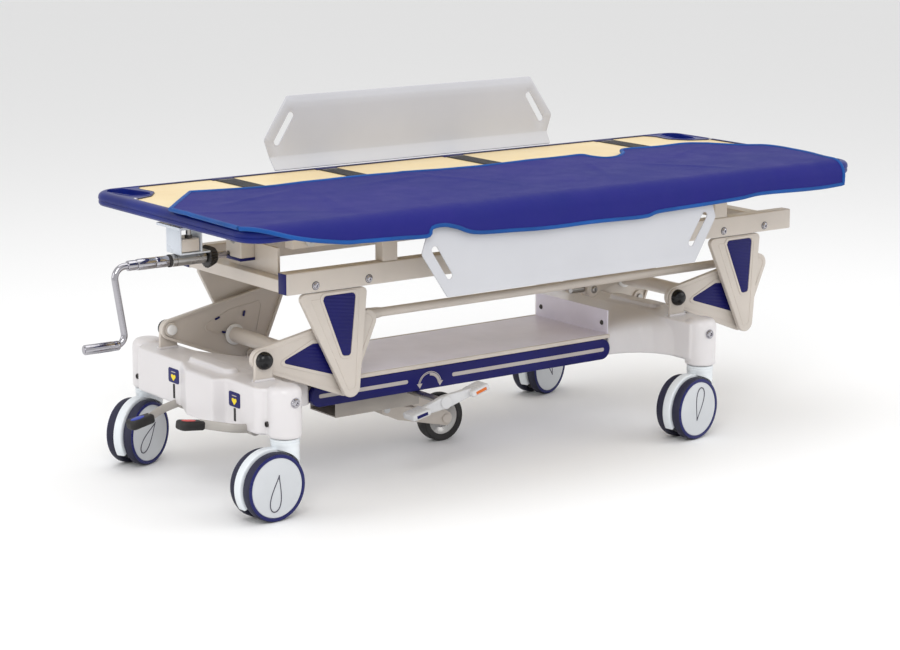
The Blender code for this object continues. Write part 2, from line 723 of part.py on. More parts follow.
# ---- deck ---------------------------------------------------------------------------------------
def rim_inside():
    """The boundary between the blue rim and the cream panel, drawn in around each hand hole."""
    x0, x1 = DECK_X[0] + RIM_WIDTH, DECK_X[1] - RIM_WIDTH
    y = DECK_HALF - RIM_WIDTH
    corner = [(0.100, 0.0), (0.084, 0.030), (0.092, 0.088), (0.056, 0.136), (0.0, 0.158)]
    radii = [0.012, 0.022, 0.030, 0.030, 0.012]
    line, rounds = [], []
    for sx, sy in ((1, 1), (-1, 1), (-1, -1), (1, -1)):
        edge = x1 if sx > 0 else x0
        points = [(edge - sx * dx, sy * (y - dy)) for dx, dy in corner]
        order = 1 if sx * sy < 0 else -1
        line += points[::order]
        rounds += radii[::order]
    return rounded(line, rounds, count=3)


def hand_holes():
    for sx, sy in ((1, 1), (-1, 1), (-1, -1), (1, -1)):
        edge = DECK_X[1] if sx > 0 else DECK_X[0]
        yield oblong((edge - sx * 0.057, sy * 0.262), 0.120, 0.056, 90 - sx * sy * 14, 6)


def deck(joint):
    outline = rounded(
        [(DECK_X[1], DECK_HALF), (DECK_X[0], DECK_HALF), (DECK_X[0], -DECK_HALF), (DECK_X[1], -DECK_HALF)],
        DECK_CORNER, count=8,
    )
    inside = rim_inside()
    rim = slab("deck_rim", "rim_blue", outline, DECK_LOW, DECK_HIGH, holes=[inside, *hand_holes()])
    ride(bevel(rim, 0.004, 1, 60), joint)
    panel = slab("deck_panel", "panel_cream", grown(inside, -2 * GAP), PANEL_LOW, PANEL_HIGH)
    ride(panel, joint)
    high = PANEL_LOW - GAP
    runners = [
        block(
            name, "frame_paint", (-0.560, 0.900), span(sign, TRACK_IN - 0.001, TRACK_OUT + 0.001),
            (RUNNER_LOW, high),
        )
        for name, sign in (("deck_carriage", 1), (helper(), -1))
    ]
    bars = [
        block(
            helper(), "frame_paint", (x, x + 0.030), (-TRACK_IN - 0.005, TRACK_IN + 0.005), (high - 0.010, high)
        )
        for x in CARRIAGE_BARS_X
    ]
    ride(fuse(runners[0], *bars, runners[1]), joint)


def guard(side, sign, up, joint):
    """A folded sheet with a slanted hand hole at each end, hung from a barrel along the deck's edge."""
    way = 1 if up else -1
    middle = GUARD_MID_X[side]
    half = [(0.426, 0.0), (0.429, 0.038), (0.4455, 0.088), (0.380, 0.188)]
    corners = [(middle + x, GUARD_Z + way * z) for x, z in half]
    corners += [(middle - x, GUARD_Z + way * z) for x, z in half[::-1]]
    slots = [
        oblong((middle + end * 0.392, GUARD_Z + way * 0.108), 0.094, 0.017, 90 + end * way * 32.7, 5)
        for end in (-1, 1)
    ]
    y = (sign * GUARD_Y - GUARD_SHEET / 2, sign * GUARD_Y + GUARD_SHEET / 2)
    outline = rounded(corners, [0, 0.006, 0.012, 0.008, 0.008, 0.012, 0.006, 0], count=3)
    sheet = slab(f"side_guard_{side}", "guard_paint", outline, *y, "Y", holes=slots, smooth=None)
    start, end = (middle - 0.425, sign * GUARD_Y, GUARD_Z), (middle + 0.425, sign * GUARD_Y, GUARD_Z)
    ride(fuse(sheet, drum(helper(), "guard_paint", start, end, GUARD_BARREL, sides=12)), joint)


def mat(joint):
    outline = [(-0.692, -0.020), (-0.692, -0.300), (-0.650, -0.352), (-0.600, MAT_SIDE[1] - 0.001),
               (1.000, MAT_SIDE[1] - 0.001), (1.045, -0.320), (1.045, -0.120), (0.960, 0.070), (0.840, 0.130),
               (-0.540, 0.160)]
    top = slab("mat", "mat_fabric", outline, MAT_LOW, MAT_HIGH, smooth=None)
    flap = block(helper(), "mat_fabric", (-0.600, 1.000), MAT_SIDE, (MAT_HEM_Z, MAT_HIGH))
    ride(fuse(top, flap), joint)


# ---- pedals and fifth wheel ---------------------------------------------------------------------
def brake():
    x, z = BRAKE_SHAFT
    ride(drum("brake_shaft", "steel", (x, -0.235, z), (x, 0.110, z), BRAKE_SHAFT_RADIUS), BASE)


def brake_pedal(name, y, slope, reach, pad_y, joint):
    """A hub on the brake shaft, an arm that slopes away from the base, and a foot pad."""
    x, z = BRAKE_SHAFT
    tilt = math.radians(slope)
    way = Vector((-math.cos(tilt), -math.sin(tilt)))
    tip = Vector((x, z)) + way * reach
    elbow = Vector((x, z)) + way * (reach - 0.070)
    arm = slab(
        f"{name}_arm", "arm_grey", hull([(x, z, 0.0095), (*elbow, 0.0065)], 12), y - 0.006, y + 0.006, "Y",
        holes=[circle((x, z), BRAKE_SHAFT_RADIUS + RUN, 12)],
    )
    neck = (elbow.x, y, elbow.y), (tip.x + 0.0318, pad_y, tip.y)
    fuse(arm, drum(helper(), "arm_grey", *neck, 0.0050, sides=12))
    ride(arm, joint)
    matrix = Matrix.Translation((tip.x - 0.004, pad_y, tip.y)) @ Matrix.Rotation(-tilt, 4, "Y")
    bm = bmesh.new()
    bmesh.ops.create_cube(bm, size=1.0, matrix=matrix @ Matrix.Diagonal((0.062, 0.040, 0.015, 1.0)))
    pad = bevel(made(f"{name}_pad", bm, "black_rubber"), 0.005, 2)
    ride(pad, joint)


def linkage_channel():
    low, high = 0.140, 0.1895
    box = block("linkage_channel", "frame_paint", (-0.344, -0.112), CHANNEL_Y, (low, high))
    cut(box, block(helper(), "frame_paint", (-0.360, -0.100), (CHANNEL_Y[0] + 0.003, CHANNEL_Y[1] - 0.003),
                   (low + 0.003, high - 0.003)))
    x, z = STEER_PIVOT
    cut(box, drum(helper(), "frame_paint", (x, -0.13, z), (x, 0.01, z), STEER_SHAFT_RADIUS + RUN, sides=12))
    ride(box, BASE)


def steer_lever(joint):
    x, z = STEER_PIVOT
    y = (-0.252, -0.238)
    left, right = (-0.215, 0.170), (-0.062, 0.193)
    lever = slab("steer_lever", "lever_grey", hull([(x, z, 0.013), (*left, 0.009)], 12), *y, "Y")
    fuse(lever, slab(helper(), "lever_grey", hull([(x, z, 0.013), (*right, 0.009)], 12), *y, "Y"))
    for (px, pz), way, tilt in ((left, -1, 8.0), (right, 1, -16.0)):
        place = Matrix.Translation((px + way * 0.022, -0.242, pz + way * 0.003))
        matrix = place @ Matrix.Rotation(math.radians(tilt), 4, "Y")
        bm = bmesh.new()
        bmesh.ops.create_cube(bm, size=1.0, matrix=matrix @ Matrix.Diagonal((0.052, 0.044, 0.011, 1.0)))
        fuse(lever, bevel(made(helper(), bm, "lever_grey"), 0.003, 2))
    fuse(lever, drum(helper(), "steel", (x, -0.245, z), (x, 0.062, z), STEER_SHAFT_RADIUS, sides=12))
    ride(lever, joint)


def steer_arm(joint):
    x, z = STEER_PIVOT
    middle = STEER_Y
    hub = drum("steer_arm", "frame_paint", (x, middle - 0.0285, z), (x, middle + 0.0285, z), 0.013, sides=20)
    for side in (-1, 1):
        y = sorted((middle + side * 0.0225, middle + side * 0.0275))
        fuse(hub, slab(helper(), "frame_paint", hull([(x, z, 0.0129), (*STEER_AXLE, 0.0125)]), *y, "Y"))
    cut(hub, drum(helper(), "frame_paint", (x, -0.1, z), (x, 0.1, z), STEER_SHAFT_RADIUS + RUN, sides=12))
    ax, az = STEER_AXLE
    cut(hub, drum(helper(), "frame_paint", (ax, -0.1, az), (ax, 0.1, az), 0.006 + RUN))
    ride(hub, joint)


def steer_wheel(joint):
    x, z = STEER_AXLE
    rim = 0.040
    hub = [(0, 0.0300), (0.006, 0.0300), (0.006, 0.0160), (rim - 0.004, 0.0160), (rim, 0.0120), (rim, -0.0120),
           (rim - 0.004, -0.0160), (0.006, -0.0160), (0.006, -0.0300), (0, -0.0300)]
    ride(turned("steer_wheel_hub", "lever_grey", hub, "Y", (x, STEER_Y, z), sides=20), joint)
    outer, inner, half = STEER_WHEEL_RADIUS, rim + GAP, 0.0170
    tyre = [(outer - 0.006, half), (outer, half - 0.006), (outer, 0.006 - half), (outer - 0.006, -half),
            (inner, -half), (inner, half)]
    ride(turned("steer_tyre", "black_rubber", tyre, "Y", (x, STEER_Y, z), sides=28), joint)


# ---- the trolley --------------------------------------------------------------------------------
def build():
    castors()
    chassis()
    end_cover("end_cover_left", -1)
    end_cover("end_cover_right", 1)
    shelf()
    side_strips()
    rocker_brackets()
    linkage_channel()
    brake()

    def at(x, z, y=0.0):
        return (x, y, z)

    on_joint = pivot("brake_on_joint", at(*BRAKE_SHAFT), BASE)
    brake_pedal("brake_on", 0.085, 10.4, 0.118, 0.060, on_joint)
    off_joint = pivot("brake_off_joint", at(*BRAKE_SHAFT), BASE)
    brake_pedal("brake_off", -0.215, -7.6, 0.119, -0.160, off_joint)

    steer_lever(pivot("steer_lever_joint", at(*STEER_PIVOT), BASE))
    arm_joint = pivot("steer_arm_joint", at(*STEER_PIVOT), BASE)
    steer_arm(arm_joint)
    steer_wheel(pivot("steer_wheel_joint", at(*STEER_AXLE, STEER_Y), arm_joint))

    left_joint = pivot("rocker_left_joint", at(*ARM_ROOT), BASE)
    rockers("left", left_joint)
    rockers("right", pivot("rocker_right_joint", at(ARM_ROOT[0] + REAR_SHIFT, ARM_ROOT[1]), BASE))
    sync_rod(pivot("sync_rod_joint", at(*ARM_ROD, ROD_Y), left_joint))
    frame_joint = pivot("upper_frame_joint", at(*ARM_APEX), left_joint)
    upper_frame(frame_joint)
    crank_gear(frame_joint)
    crank_joint = pivot("crank_joint", at(-0.60, CRANK_Z), frame_joint)
    crank(crank_joint)
    crank_grip(pivot("crank_grip_joint", at(-0.88, GRIP_Z, GRIP_Y), crank_joint))

    deck_joint = pivot("deck_slide_joint", at(0.0, DECK_LOW), frame_joint)
    deck(deck_joint)
    mat(deck_joint)
    near_joint = pivot("guard_near_joint", at(GUARD_MID_X["near"], GUARD_Z, -GUARD_Y), deck_joint)
    guard("near", -1, False, near_joint)
    far_joint = pivot("guard_far_joint", at(GUARD_MID_X["far"], GUARD_Z, GUARD_Y), deck_joint)
    guard("far", 1, True, far_joint)


build()
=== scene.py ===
import json
import math

import bmesh
import bpy
from mathutils import Matrix, Vector, noise
from mathutils.geometry import delaunay_2d_cdt


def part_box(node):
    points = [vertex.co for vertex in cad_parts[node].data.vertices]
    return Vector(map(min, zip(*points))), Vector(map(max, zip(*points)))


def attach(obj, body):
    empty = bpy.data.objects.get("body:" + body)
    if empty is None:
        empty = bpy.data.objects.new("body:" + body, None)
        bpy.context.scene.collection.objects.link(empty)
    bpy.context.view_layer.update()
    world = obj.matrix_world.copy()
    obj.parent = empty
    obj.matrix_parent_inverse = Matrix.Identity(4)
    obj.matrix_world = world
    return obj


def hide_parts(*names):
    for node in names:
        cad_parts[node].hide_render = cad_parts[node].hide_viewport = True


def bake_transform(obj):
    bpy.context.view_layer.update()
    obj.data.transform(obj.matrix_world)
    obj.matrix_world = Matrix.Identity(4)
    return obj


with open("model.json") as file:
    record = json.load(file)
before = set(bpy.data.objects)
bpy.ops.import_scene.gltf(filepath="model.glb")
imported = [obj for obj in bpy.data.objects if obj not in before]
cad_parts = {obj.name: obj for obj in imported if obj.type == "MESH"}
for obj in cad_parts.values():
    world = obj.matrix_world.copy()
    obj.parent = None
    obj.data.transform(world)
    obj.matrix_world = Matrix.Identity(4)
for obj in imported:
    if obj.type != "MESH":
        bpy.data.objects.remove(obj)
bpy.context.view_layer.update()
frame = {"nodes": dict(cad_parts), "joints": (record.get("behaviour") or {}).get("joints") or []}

NODES = frame["nodes"]
JOINTS = {joint["name"]: joint for joint in frame["joints"]}
CORNERS = ("left_near", "left_far", "right_near", "right_far")
SIDES = (("near", -1), ("far", 1))

# The base frame: on the floor, midway between the four castor stems. Every piece is drawn in it.
STEMS = [Vector(JOINTS[f"castor_swivel_{corner}"]["pos_m"]) for corner in CORNERS]
BASE = sum(STEMS, Vector()) / 4
BASE.z = 0.0


def pivot(name):
    """A joint's place in the base frame."""
    return Vector(JOINTS[name]["pos_m"]) - BASE


def box(node):
    """A CAD node's lowest and highest corners in the base frame."""
    low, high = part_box(node)
    return low - BASE, high - BASE


# ---- materials ----------------------------------------------------------------------------------
def link(tree, source, output, target, name):
    tree.links.new(source.outputs[output], target.inputs[name])


def node(tree, kind, **inputs):
    made = tree.nodes.new(kind)
    for name, value in inputs.items():
        made.inputs[name.replace("_", " ")].default_value = value
    return made


def ramp(tree, source, output, low, high, low_to, high_to):
    """A value carried from one range to another."""
    made = tree.nodes.new("ShaderNodeMapRange")
    for name, value in (("From Min", low), ("From Max", high), ("To Min", low_to), ("To Max", high_to)):
        made.inputs[name].default_value = value
    link(tree, source, output, made, "Value")
    return made


def mix(tree, factor, output, one, other):
    made = tree.nodes.new("ShaderNodeMix")
    made.data_type = "RGBA"
    made.inputs["A"].default_value = (*one, 1.0)
    made.inputs["B"].default_value = (*other, 1.0)
    tree.links.new(factor.outputs[output], made.inputs["Factor"])
    return made


def shade(colour, amount):
    return tuple(min(1.0, channel * amount) for channel in colour)


def finish(name, colour, roughness, metallic=0.0, grain=0.1, grain_size=0.0012, mottle=0.05,
    mottle_size=0.16, spread=0.06, coat=0.0, sheen=0.0, shine=0.5, tint=None, weave=(), worn=0.0):
    """A surface with fine grain, uneven gloss and slow changes of colour, and optionally threads."""
    made = bpy.data.materials.new(name)
    made.use_nodes = True
    tree = made.node_tree
    shader = tree.nodes["Principled BSDF"]
    shader.inputs["Metallic"].default_value = metallic
    shader.inputs["Specular IOR Level"].default_value = shine
    shader.inputs["Coat Weight"].default_value = coat
    shader.inputs["Coat Roughness"].default_value = 0.12
    shader.inputs["Sheen Weight"].default_value = sheen
    shader.inputs["Sheen Roughness"].default_value = 0.4
    place = tree.nodes.new("ShaderNodeTexCoord")

    slow = node(tree, "ShaderNodeTexNoise", Scale=1 / mottle_size, Detail=4.0, Roughness=0.6)
    link(tree, place, "Object", slow, "Vector")
    other = tint or shade(colour, 1 - 2.2 * mottle)
    blotch = ramp(tree, slow, "Fac", 0.32, 0.68, 0.0, 1.0)
    paint = mix(tree, blotch, "Result", shade(colour, 1 + mottle), other)
    if worn:
        edge = tree.nodes.new("ShaderNodeNewGeometry")
        rub = ramp(tree, edge, "Pointiness", 0.53, 0.62, 0.0, worn)
        bare = tree.nodes.new("ShaderNodeMix")
        bare.data_type = "RGBA"
        bare.inputs["B"].default_value = (*shade(colour, 1.35), 1.0)
        link(tree, rub, "Result", bare, "Factor")
        tree.links.new(paint.outputs["Result"], bare.inputs["A"])
        paint = bare
    tree.links.new(paint.outputs["Result"], shader.inputs["Base Color"])

    patch = node(tree, "ShaderNodeTexNoise", Scale=1 / (mottle_size * 0.28), Detail=5.0, Roughness=0.65)
    link(tree, place, "Object", patch, "Vector")
    gloss = ramp(tree, patch, "Fac", 0.3, 0.7, roughness - spread, roughness + spread)
    link(tree, gloss, "Result", shader, "Roughness")

    fine = node(tree, "ShaderNodeTexNoise", Scale=1 / grain_size, Detail=2.0, Roughness=0.5)
    link(tree, place, "Object", fine, "Vector")
    bump = node(tree, "ShaderNodeBump", Strength=grain, Distance=grain_size * 0.4)
    link(tree, fine, "Fac", bump, "Height")
    last = bump
    for wave in weave:
        last = threads(tree, place, last, *wave)
    link(tree, last, "Normal", shader, "Normal")
    return made


def threads(tree, place, before, direction, pitch, depth):
    """A bump of parallel threads, a pitch apart across a direction."""
    across = tree.nodes.new("ShaderNodeVectorMath")
    across.operation = "DOT_PRODUCT"
    link(tree, place, "Object", across, 0)
    across.inputs[1].default_value = direction
    turns = tree.nodes.new("ShaderNodeMath")
    turns.operation = "MULTIPLY"
    turns.inputs[1].default_value = 2 * math.pi / pitch
    link(tree, across, "Value", turns, 0)
    wave = tree.nodes.new("ShaderNodeMath")
    wave.operation = "SINE"
    link(tree, turns, "Value", wave, 0)
    bump = node(tree, "ShaderNodeBump", Strength=depth, Distance=pitch * 0.25)
    link(tree, wave, "Value", bump, "Height")
    link(tree, before, "Normal", bump, "Normal")
    return bump


BEIGE = (0.585, 0.53, 0.475)
NAVY = (0.007, 0.007, 0.105)
M = {
    "frame": finish("powder_coat_beige", BEIGE, 0.36, grain=0.16, grain_size=0.0011, mottle=0.03,
        worn=0.35, coat=0.1),
    # Painted shade: the beige powder coat darkened to 0.6, for the chassis, linkage channel and deck carriage
    # that sit in shade inside the frame.
    "frame_painted_shade": finish("powder_coat_painted_shade", shade(BEIGE, 0.6), 0.42, grain=0.16, mottle=0.08),
    "cover": finish("moulded_white", (0.7, 0.675, 0.68), 0.34, grain=0.04, grain_size=0.0008, mottle=0.01,
        spread=0.03, coat=0.12),
    "castor": finish("castor_white", (0.76, 0.8, 0.83), 0.3, grain=0.05, mottle=0.015, spread=0.04,
        coat=0.15),
    "tyre": finish("castor_tread", (0.024, 0.024, 0.05), 0.6, grain=0.3, grain_size=0.0016, mottle=0.14,
        spread=0.1, shine=0.3),
    "ring": finish("castor_ring_navy", (0.006, 0.008, 0.105), 0.3, grain=0.05, mottle=0.06, coat=0.08,
        shine=0.3),
    "disc": finish("castor_disc_grey", (0.6, 0.62, 0.645), 0.42, grain=0.12, grain_size=0.0007,
        mottle=0.025),
    "line": finish("moulded_line", (0.035, 0.03, 0.06), 0.5, mottle=0.1),
    "shelf": finish("shelf_lavender", (0.755, 0.715, 0.815), 0.36, grain=0.14, grain_size=0.001,
        mottle=0.04, mottle_size=0.22),
    "navy": finish("navy_insert", NAVY, 0.4, grain=0.12, grain_size=0.0009, mottle=0.1, shine=0.22),
    "navy_ribbed": finish("navy_ribbed", NAVY, 0.42, grain=0.08, mottle=0.1,
        weave=[((0.15, 0.0, 1.0), 0.008, 0.22)], shine=0.22),
    "inlay": finish("inlay_grey_beige", (0.46, 0.42, 0.4), 0.4),
    "rim": finish("rim_blue", (0.006, 0.016, 0.175), 0.34, grain=0.04, grain_size=0.0014, mottle=0.08,
        shine=0.22, tint=(0.004, 0.01, 0.125)),
    "panel": finish("panel_cream", (0.78, 0.63, 0.36), 0.38, grain_size=0.0024, mottle=0.03,
        mottle_size=0.3, tint=(0.74, 0.57, 0.3), spread=0.08),
    "guard": finish("guard_grey", (0.56, 0.565, 0.595), 0.4, grain=0.2, grain_size=0.0009, mottle=0.02,
        mottle_size=0.35, spread=0.03, shine=0.35),
    "mat": finish("coated_weave_blue", (0.009, 0.012, 0.15), 0.62, grain=0.15, grain_size=0.003,
        mottle=0.1, mottle_size=0.24, tint=(0.014, 0.012, 0.18), shine=0.2,
        weave=[((1.0, 0.0, 0.0), 0.0016, 0.16), ((0.0, 1.0, 1.0), 0.0016, 0.16)]),
    "binding": finish("binding_tape_blue", (0.004, 0.08, 0.33), 0.6, grain=0.2, mottle=0.12, sheen=0.05,
        shine=0.25, weave=[((1.0, 1.0, 0.6), 0.0022, 0.45)]),
    "webbing": finish("webbing_black", (0.018, 0.016, 0.018), 0.72, grain=0.3, mottle=0.15, sheen=0.1,
        shine=0.3, weave=[((1.0, 0.0, 0.0), 0.0021, 0.6), ((0.0, 1.0, 0.0), 0.003, 0.4)]),
    "rubber": finish("black_rubber", (0.024, 0.022, 0.022), 0.58, grain=0.35, grain_size=0.0016,
        mottle=0.2, spread=0.1, shine=0.35),
    "cap": finish("black_gloss_cap", (0.006, 0.006, 0.007), 0.22, grain=0.04, mottle=0.1, spread=0.04,
        shine=0.35),
    "chrome": finish("chrome_plate", (0.44, 0.43, 0.46), 0.13, 1.0, grain=0.06, grain_size=0.004,
        mottle=0.03),
    "steel": finish("turned_steel", (0.4, 0.39, 0.38), 0.3, 1.0, grain_size=0.0015, mottle=0.06),
    "dark_steel": finish("oiled_gear_steel", (0.075, 0.07, 0.068), 0.4, 0.7, grain=0.3, mottle=0.2,
        spread=0.12),
    "arm": finish("pedal_arm_grey", (0.4, 0.375, 0.345), 0.38, grain=0.12, mottle=0.06, coat=0.1),
    "lever": finish("lever_light_grey", (0.62, 0.62, 0.63), 0.36),
    "white_pin": finish("white_bush", (0.78, 0.77, 0.76), 0.34, grain=0.06, mottle=0.04),
    "red": finish("mark_red", (0.7, 0.012, 0.01), 0.34, grain=0.05, shine=0.3),
    "blue": finish("mark_blue", (0.01, 0.04, 0.42), 0.34, grain=0.05, shine=0.3),
    "orange": finish("mark_orange", (0.62, 0.14, 0.02), 0.34, grain=0.05, shine=0.3),
    "yellow": finish("mark_yellow", (0.85, 0.66, 0.02), 0.38, grain=0.05, mottle=0.04, shine=0.3),
    "hanger": finish("plated_hanger", (0.62, 0.66, 0.72), 0.3, 0.15, grain=0.08, mottle=0.06, coat=0.2),
    "roller": finish("roller_grey", (0.58, 0.57, 0.56), 0.4, mottle=0.06),
}


# ---- outlines -----------------------------------------------------------------------------------
def arc(middle, radius, start, end, count):
    """Points on a circle between two angles in degrees."""
    angles = [math.radians(start + (end - start) * k / count) for k in range(count + 1)]
    return [(middle[0] + radius * math.cos(a), middle[1] + radius * math.sin(a)) for a in angles]


def circle(middle, radius, count=32):
    return arc(middle, radius, 0, 360, count)[:-1]


def rounded(points, radii, count=6, closed=True):
    """Corners replaced by arcs."""
    size = len(points[0])
    corners = [Vector((*point, 0.0)) if size == 2 else Vector(point) for point in points]
    radii = radii if isinstance(radii, (list, tuple)) else [radii] * len(points)
    line = []
    for k, (corner, radius) in enumerate(zip(corners, radii)):
        if radius == 0 or (not closed and k in (0, len(corners) - 1)):
            line.append(corner)
            continue
        back = (corners[k - 1] - corner).normalized()
        ahead = (corners[(k + 1) % len(corners)] - corner).normalized()
        half = back.angle(ahead) / 2
        centre = corner + (back + ahead).normalized() * radius / math.sin(half)
        first = (corner + back * radius / math.tan(half) - centre).normalized()
        last = (corner + ahead * radius / math.tan(half) - centre).normalized()
        line += [centre + first.slerp(last, step / count) * radius for step in range(count + 1)]
    return [tuple(point[:size]) for point in line]


def pane(u, v, radius, count=6):
    """A rectangle with rounded corners."""
    return rounded([(u[0], v[0]), (u[1], v[0]), (u[1], v[1]), (u[0], v[1])], radius, count)


def area(line):
    return sum(a[0] * b[1] - b[0] * a[1] for a, b in zip(line, line[1:] + line[:1])) / 2


def hull(circles, count=40):
    """The outline of a belt around (u, v, radius) circles."""
    points = sorted({point for u, v, radius in circles for point in circle((u, v), radius, count)})

    def half(line):
        kept = []
        for point in line:
            while len(kept) > 1 and turn_of(kept[-2], kept[-1], point) <= 1e-9:
                kept.pop()
            kept.append(point)
        return kept[:-1]

    return half(points) + half(points[::-1])


def turn_of(a, b, c):
    return (b[0] - a[0]) * (c[1] - a[1]) - (b[1] - a[1]) * (c[0] - a[0])


def oblong(middle, length, width, angle, count=12):
    """A slot with round ends; its length lies at an angle in degrees."""
    way = Vector((math.cos(math.radians(angle)), math.sin(math.radians(angle)))) * (length - width) / 2
    ends = (Vector(middle) + way, Vector(middle) - way)
    return arc(ends[0], width / 2, angle - 90, angle + 90, count) + arc(ends[1], width / 2, angle + 90,
        angle + 270, count)


def smooth_line(points, step):
    """A soft curve through points, as evenly spaced points."""
    points = [Vector(point) for point in points]
    dense = []
    for k in range(len(points) - 1):
        p0, p1, p2, p3 = (points[max(0, min(len(points) - 1, k + shift))] for shift in (-1, 0, 1, 2))
        for cut in range(16):
            t = cut / 16
            dense.append(0.5 * ((2 * p1) + (p2 - p0) * t + (2 * p0 - 5 * p1 + 4 * p2 - p3) * t * t
                + (3 * p1 - p0 - 3 * p2 + p3) * t ** 3))
    dense.append(points[-1])
    return evenly(dense, step)


def evenly(line, step, closed=False):
    line = [Vector(point) for point in line]
    if closed:
        line.append(line[0])
    reach = [0.0]
    for a, b in zip(line, line[1:]):
        reach.append(reach[-1] + (b - a).length)
    count = max(1, round(reach[-1] / step))
    spaced, k = [], 0
    for index in range(count if closed else count + 1):
        goal = reach[-1] * index / count
        while k < len(line) - 2 and reach[k + 1] < goal:
            k += 1
        share = (goal - reach[k]) / max(reach[k + 1] - reach[k], 1e-12)
        spaced.append(line[k].lerp(line[k + 1], min(1.0, share)))
    return spaced


def inside(point, loop):
    """Whether a point lies inside a loop."""
    within = False
    for a, b in zip(loop, loop[1:] + loop[:1]):
        if (a[1] > point[1]) != (b[1] > point[1]):
            if point[0] < (b[0] - a[0]) * (point[1] - a[1]) / (b[1] - a[1]) + a[0]:
                within = not within
    return within


def clear_of(point, loop, margin):
    """Whether a point is at least a margin from every point of a loop."""
    return all((point[0] - a[0]) ** 2 + (point[1] - a[1]) ** 2 > margin * margin for a in loop)


def filled(outline, holes=(), more=()):
    """An outline filled with triangles round its holes, through more points inside it."""
    points, bounds = [], []
    for loop in (outline, *holes):
        start, count = len(points), len(loop)
        points += [Vector(point) for point in loop]
        bounds += [(start + k, start + (k + 1) % count) for k in range(count)]
    points += [Vector(point) for point in more]
    flat, _, faces, *_ = delaunay_2d_cdt(points, bounds, [], 1, 1e-7)
    kept_faces = []
    for face in faces:
        middle = sum((flat[k] for k in face), Vector((0, 0))) / len(face)
        if inside(middle, outline) and not any(inside(middle, hole) for hole in holes):
            kept_faces.append(face)
    return flat, kept_faces


# ---- shapes -------------------------------------------------------------------------------------
def made(name, bm, material, smooth=35.0):
    bmesh.ops.recalc_face_normals(bm, faces=bm.faces)
    mesh = bpy.data.meshes.new(name)
    bm.to_mesh(mesh)
    bm.free()
    obj = bpy.data.objects.new(name, mesh)
    bpy.context.scene.collection.objects.link(obj)
    mesh.materials.append(M[material])
    if smooth:
        mesh.shade_smooth()
        mesh.set_sharp_from_angle(angle=math.radians(smooth))
    return obj


def bands(bm, rows):
    """Faces between successive closed rows of as many vertices."""
    for one, other in zip(rows, rows[1:]):
        size = len(one)
        for k in range(size):
            bm.faces.new((one[k], one[(k + 1) % size], other[(k + 1) % size], other[k]))


def settle(obj, smooth=35.0):
    """The object's modifiers applied."""
    bpy.context.view_layer.update()
    seen = obj.evaluated_get(bpy.context.evaluated_depsgraph_get())
    mesh = bpy.data.meshes.new_from_object(seen)
    obj.modifiers.clear()
    old = obj.data
    obj.data = mesh
    bpy.data.meshes.remove(old)
    mesh.shade_smooth()
    mesh.set_sharp_from_angle(angle=math.radians(smooth))
    return obj


def bevel(obj, width, segments, angle):
    """A modifier that rounds the edges sharper than an angle in degrees."""
    edge = obj.modifiers.new("edges", "BEVEL")
    edge.width = width
    edge.segments = segments
    edge.limit_method = "ANGLE"
    edge.angle_limit = math.radians(angle)
    return edge


def softened(obj, width, segments):
    """Edges rounded."""
    if width:
        bevel(obj, width, segments, 50)
        settle(obj)
    return obj


def slab(name, material, outline, low, high, axis="Z", edge=0.001, holes=(), segments=3):
    """A flat outline from low to high along Z, or along Y for an (x, z) outline, or X for a (y, z) one."""
    bm = bmesh.new()
    outline = outline if area(outline) > 0 else outline[::-1]
    if holes:
        flat, faces = filled(outline, holes)
    else:
        flat, faces = [Vector(point) for point in outline], [range(len(outline))]
    verts = [bm.verts.new((u, v, 0.0)) for u, v in flat]
    for face in faces:
        bm.faces.new([verts[k] for k in face])
    if holes:
        bmesh.ops.dissolve_limit(bm, angle_limit=0.01, verts=bm.verts, edges=bm.edges)
    grown = bmesh.ops.extrude_face_region(bm, geom=list(bm.faces))
    lifted = [part for part in grown["geom"] if isinstance(part, bmesh.types.BMVert)]
    bmesh.ops.translate(bm, verts=lifted, vec=(0, 0, high - low))
    turn = {
        "Z": Matrix.Translation((0, 0, low)),
        "Y": Matrix.Translation((0, high, 0)) @ Matrix.Rotation(math.pi / 2, 4, "X"),
        "X": Matrix.Translation((low, 0, 0))
        @ Matrix(((0, 0, 1, 0), (1, 0, 0, 0), (0, 1, 0, 0), (0, 0, 0, 1))),
    }[axis]
    bmesh.ops.transform(bm, matrix=turn, verts=bm.verts)
    return softened(made(name, bm, material), edge, segments)


def block(name, material, x, y, z, edge=0.001, segments=3, matrix=None):
    bm = bmesh.new()
    bmesh.ops.create_cube(bm, size=1.0)
    size = (x[1] - x[0], y[1] - y[0], z[1] - z[0])
    middle = ((x[0] + x[1]) / 2, (y[0] + y[1]) / 2, (z[0] + z[1]) / 2)
    bmesh.ops.transform(bm, matrix=Matrix.Translation(middle) @ Matrix.Diagonal((*size, 1.0)),
        verts=bm.verts)
    if matrix:
        bmesh.ops.transform(bm, matrix=matrix, verts=bm.verts)
    return softened(made(name, bm, material), edge, segments)


def facing(place, way):
    """A matrix that takes Z to a direction, at a place."""
    return Matrix.Translation(place) @ Vector(way).to_track_quat("Z", "Y").to_matrix().to_4x4()


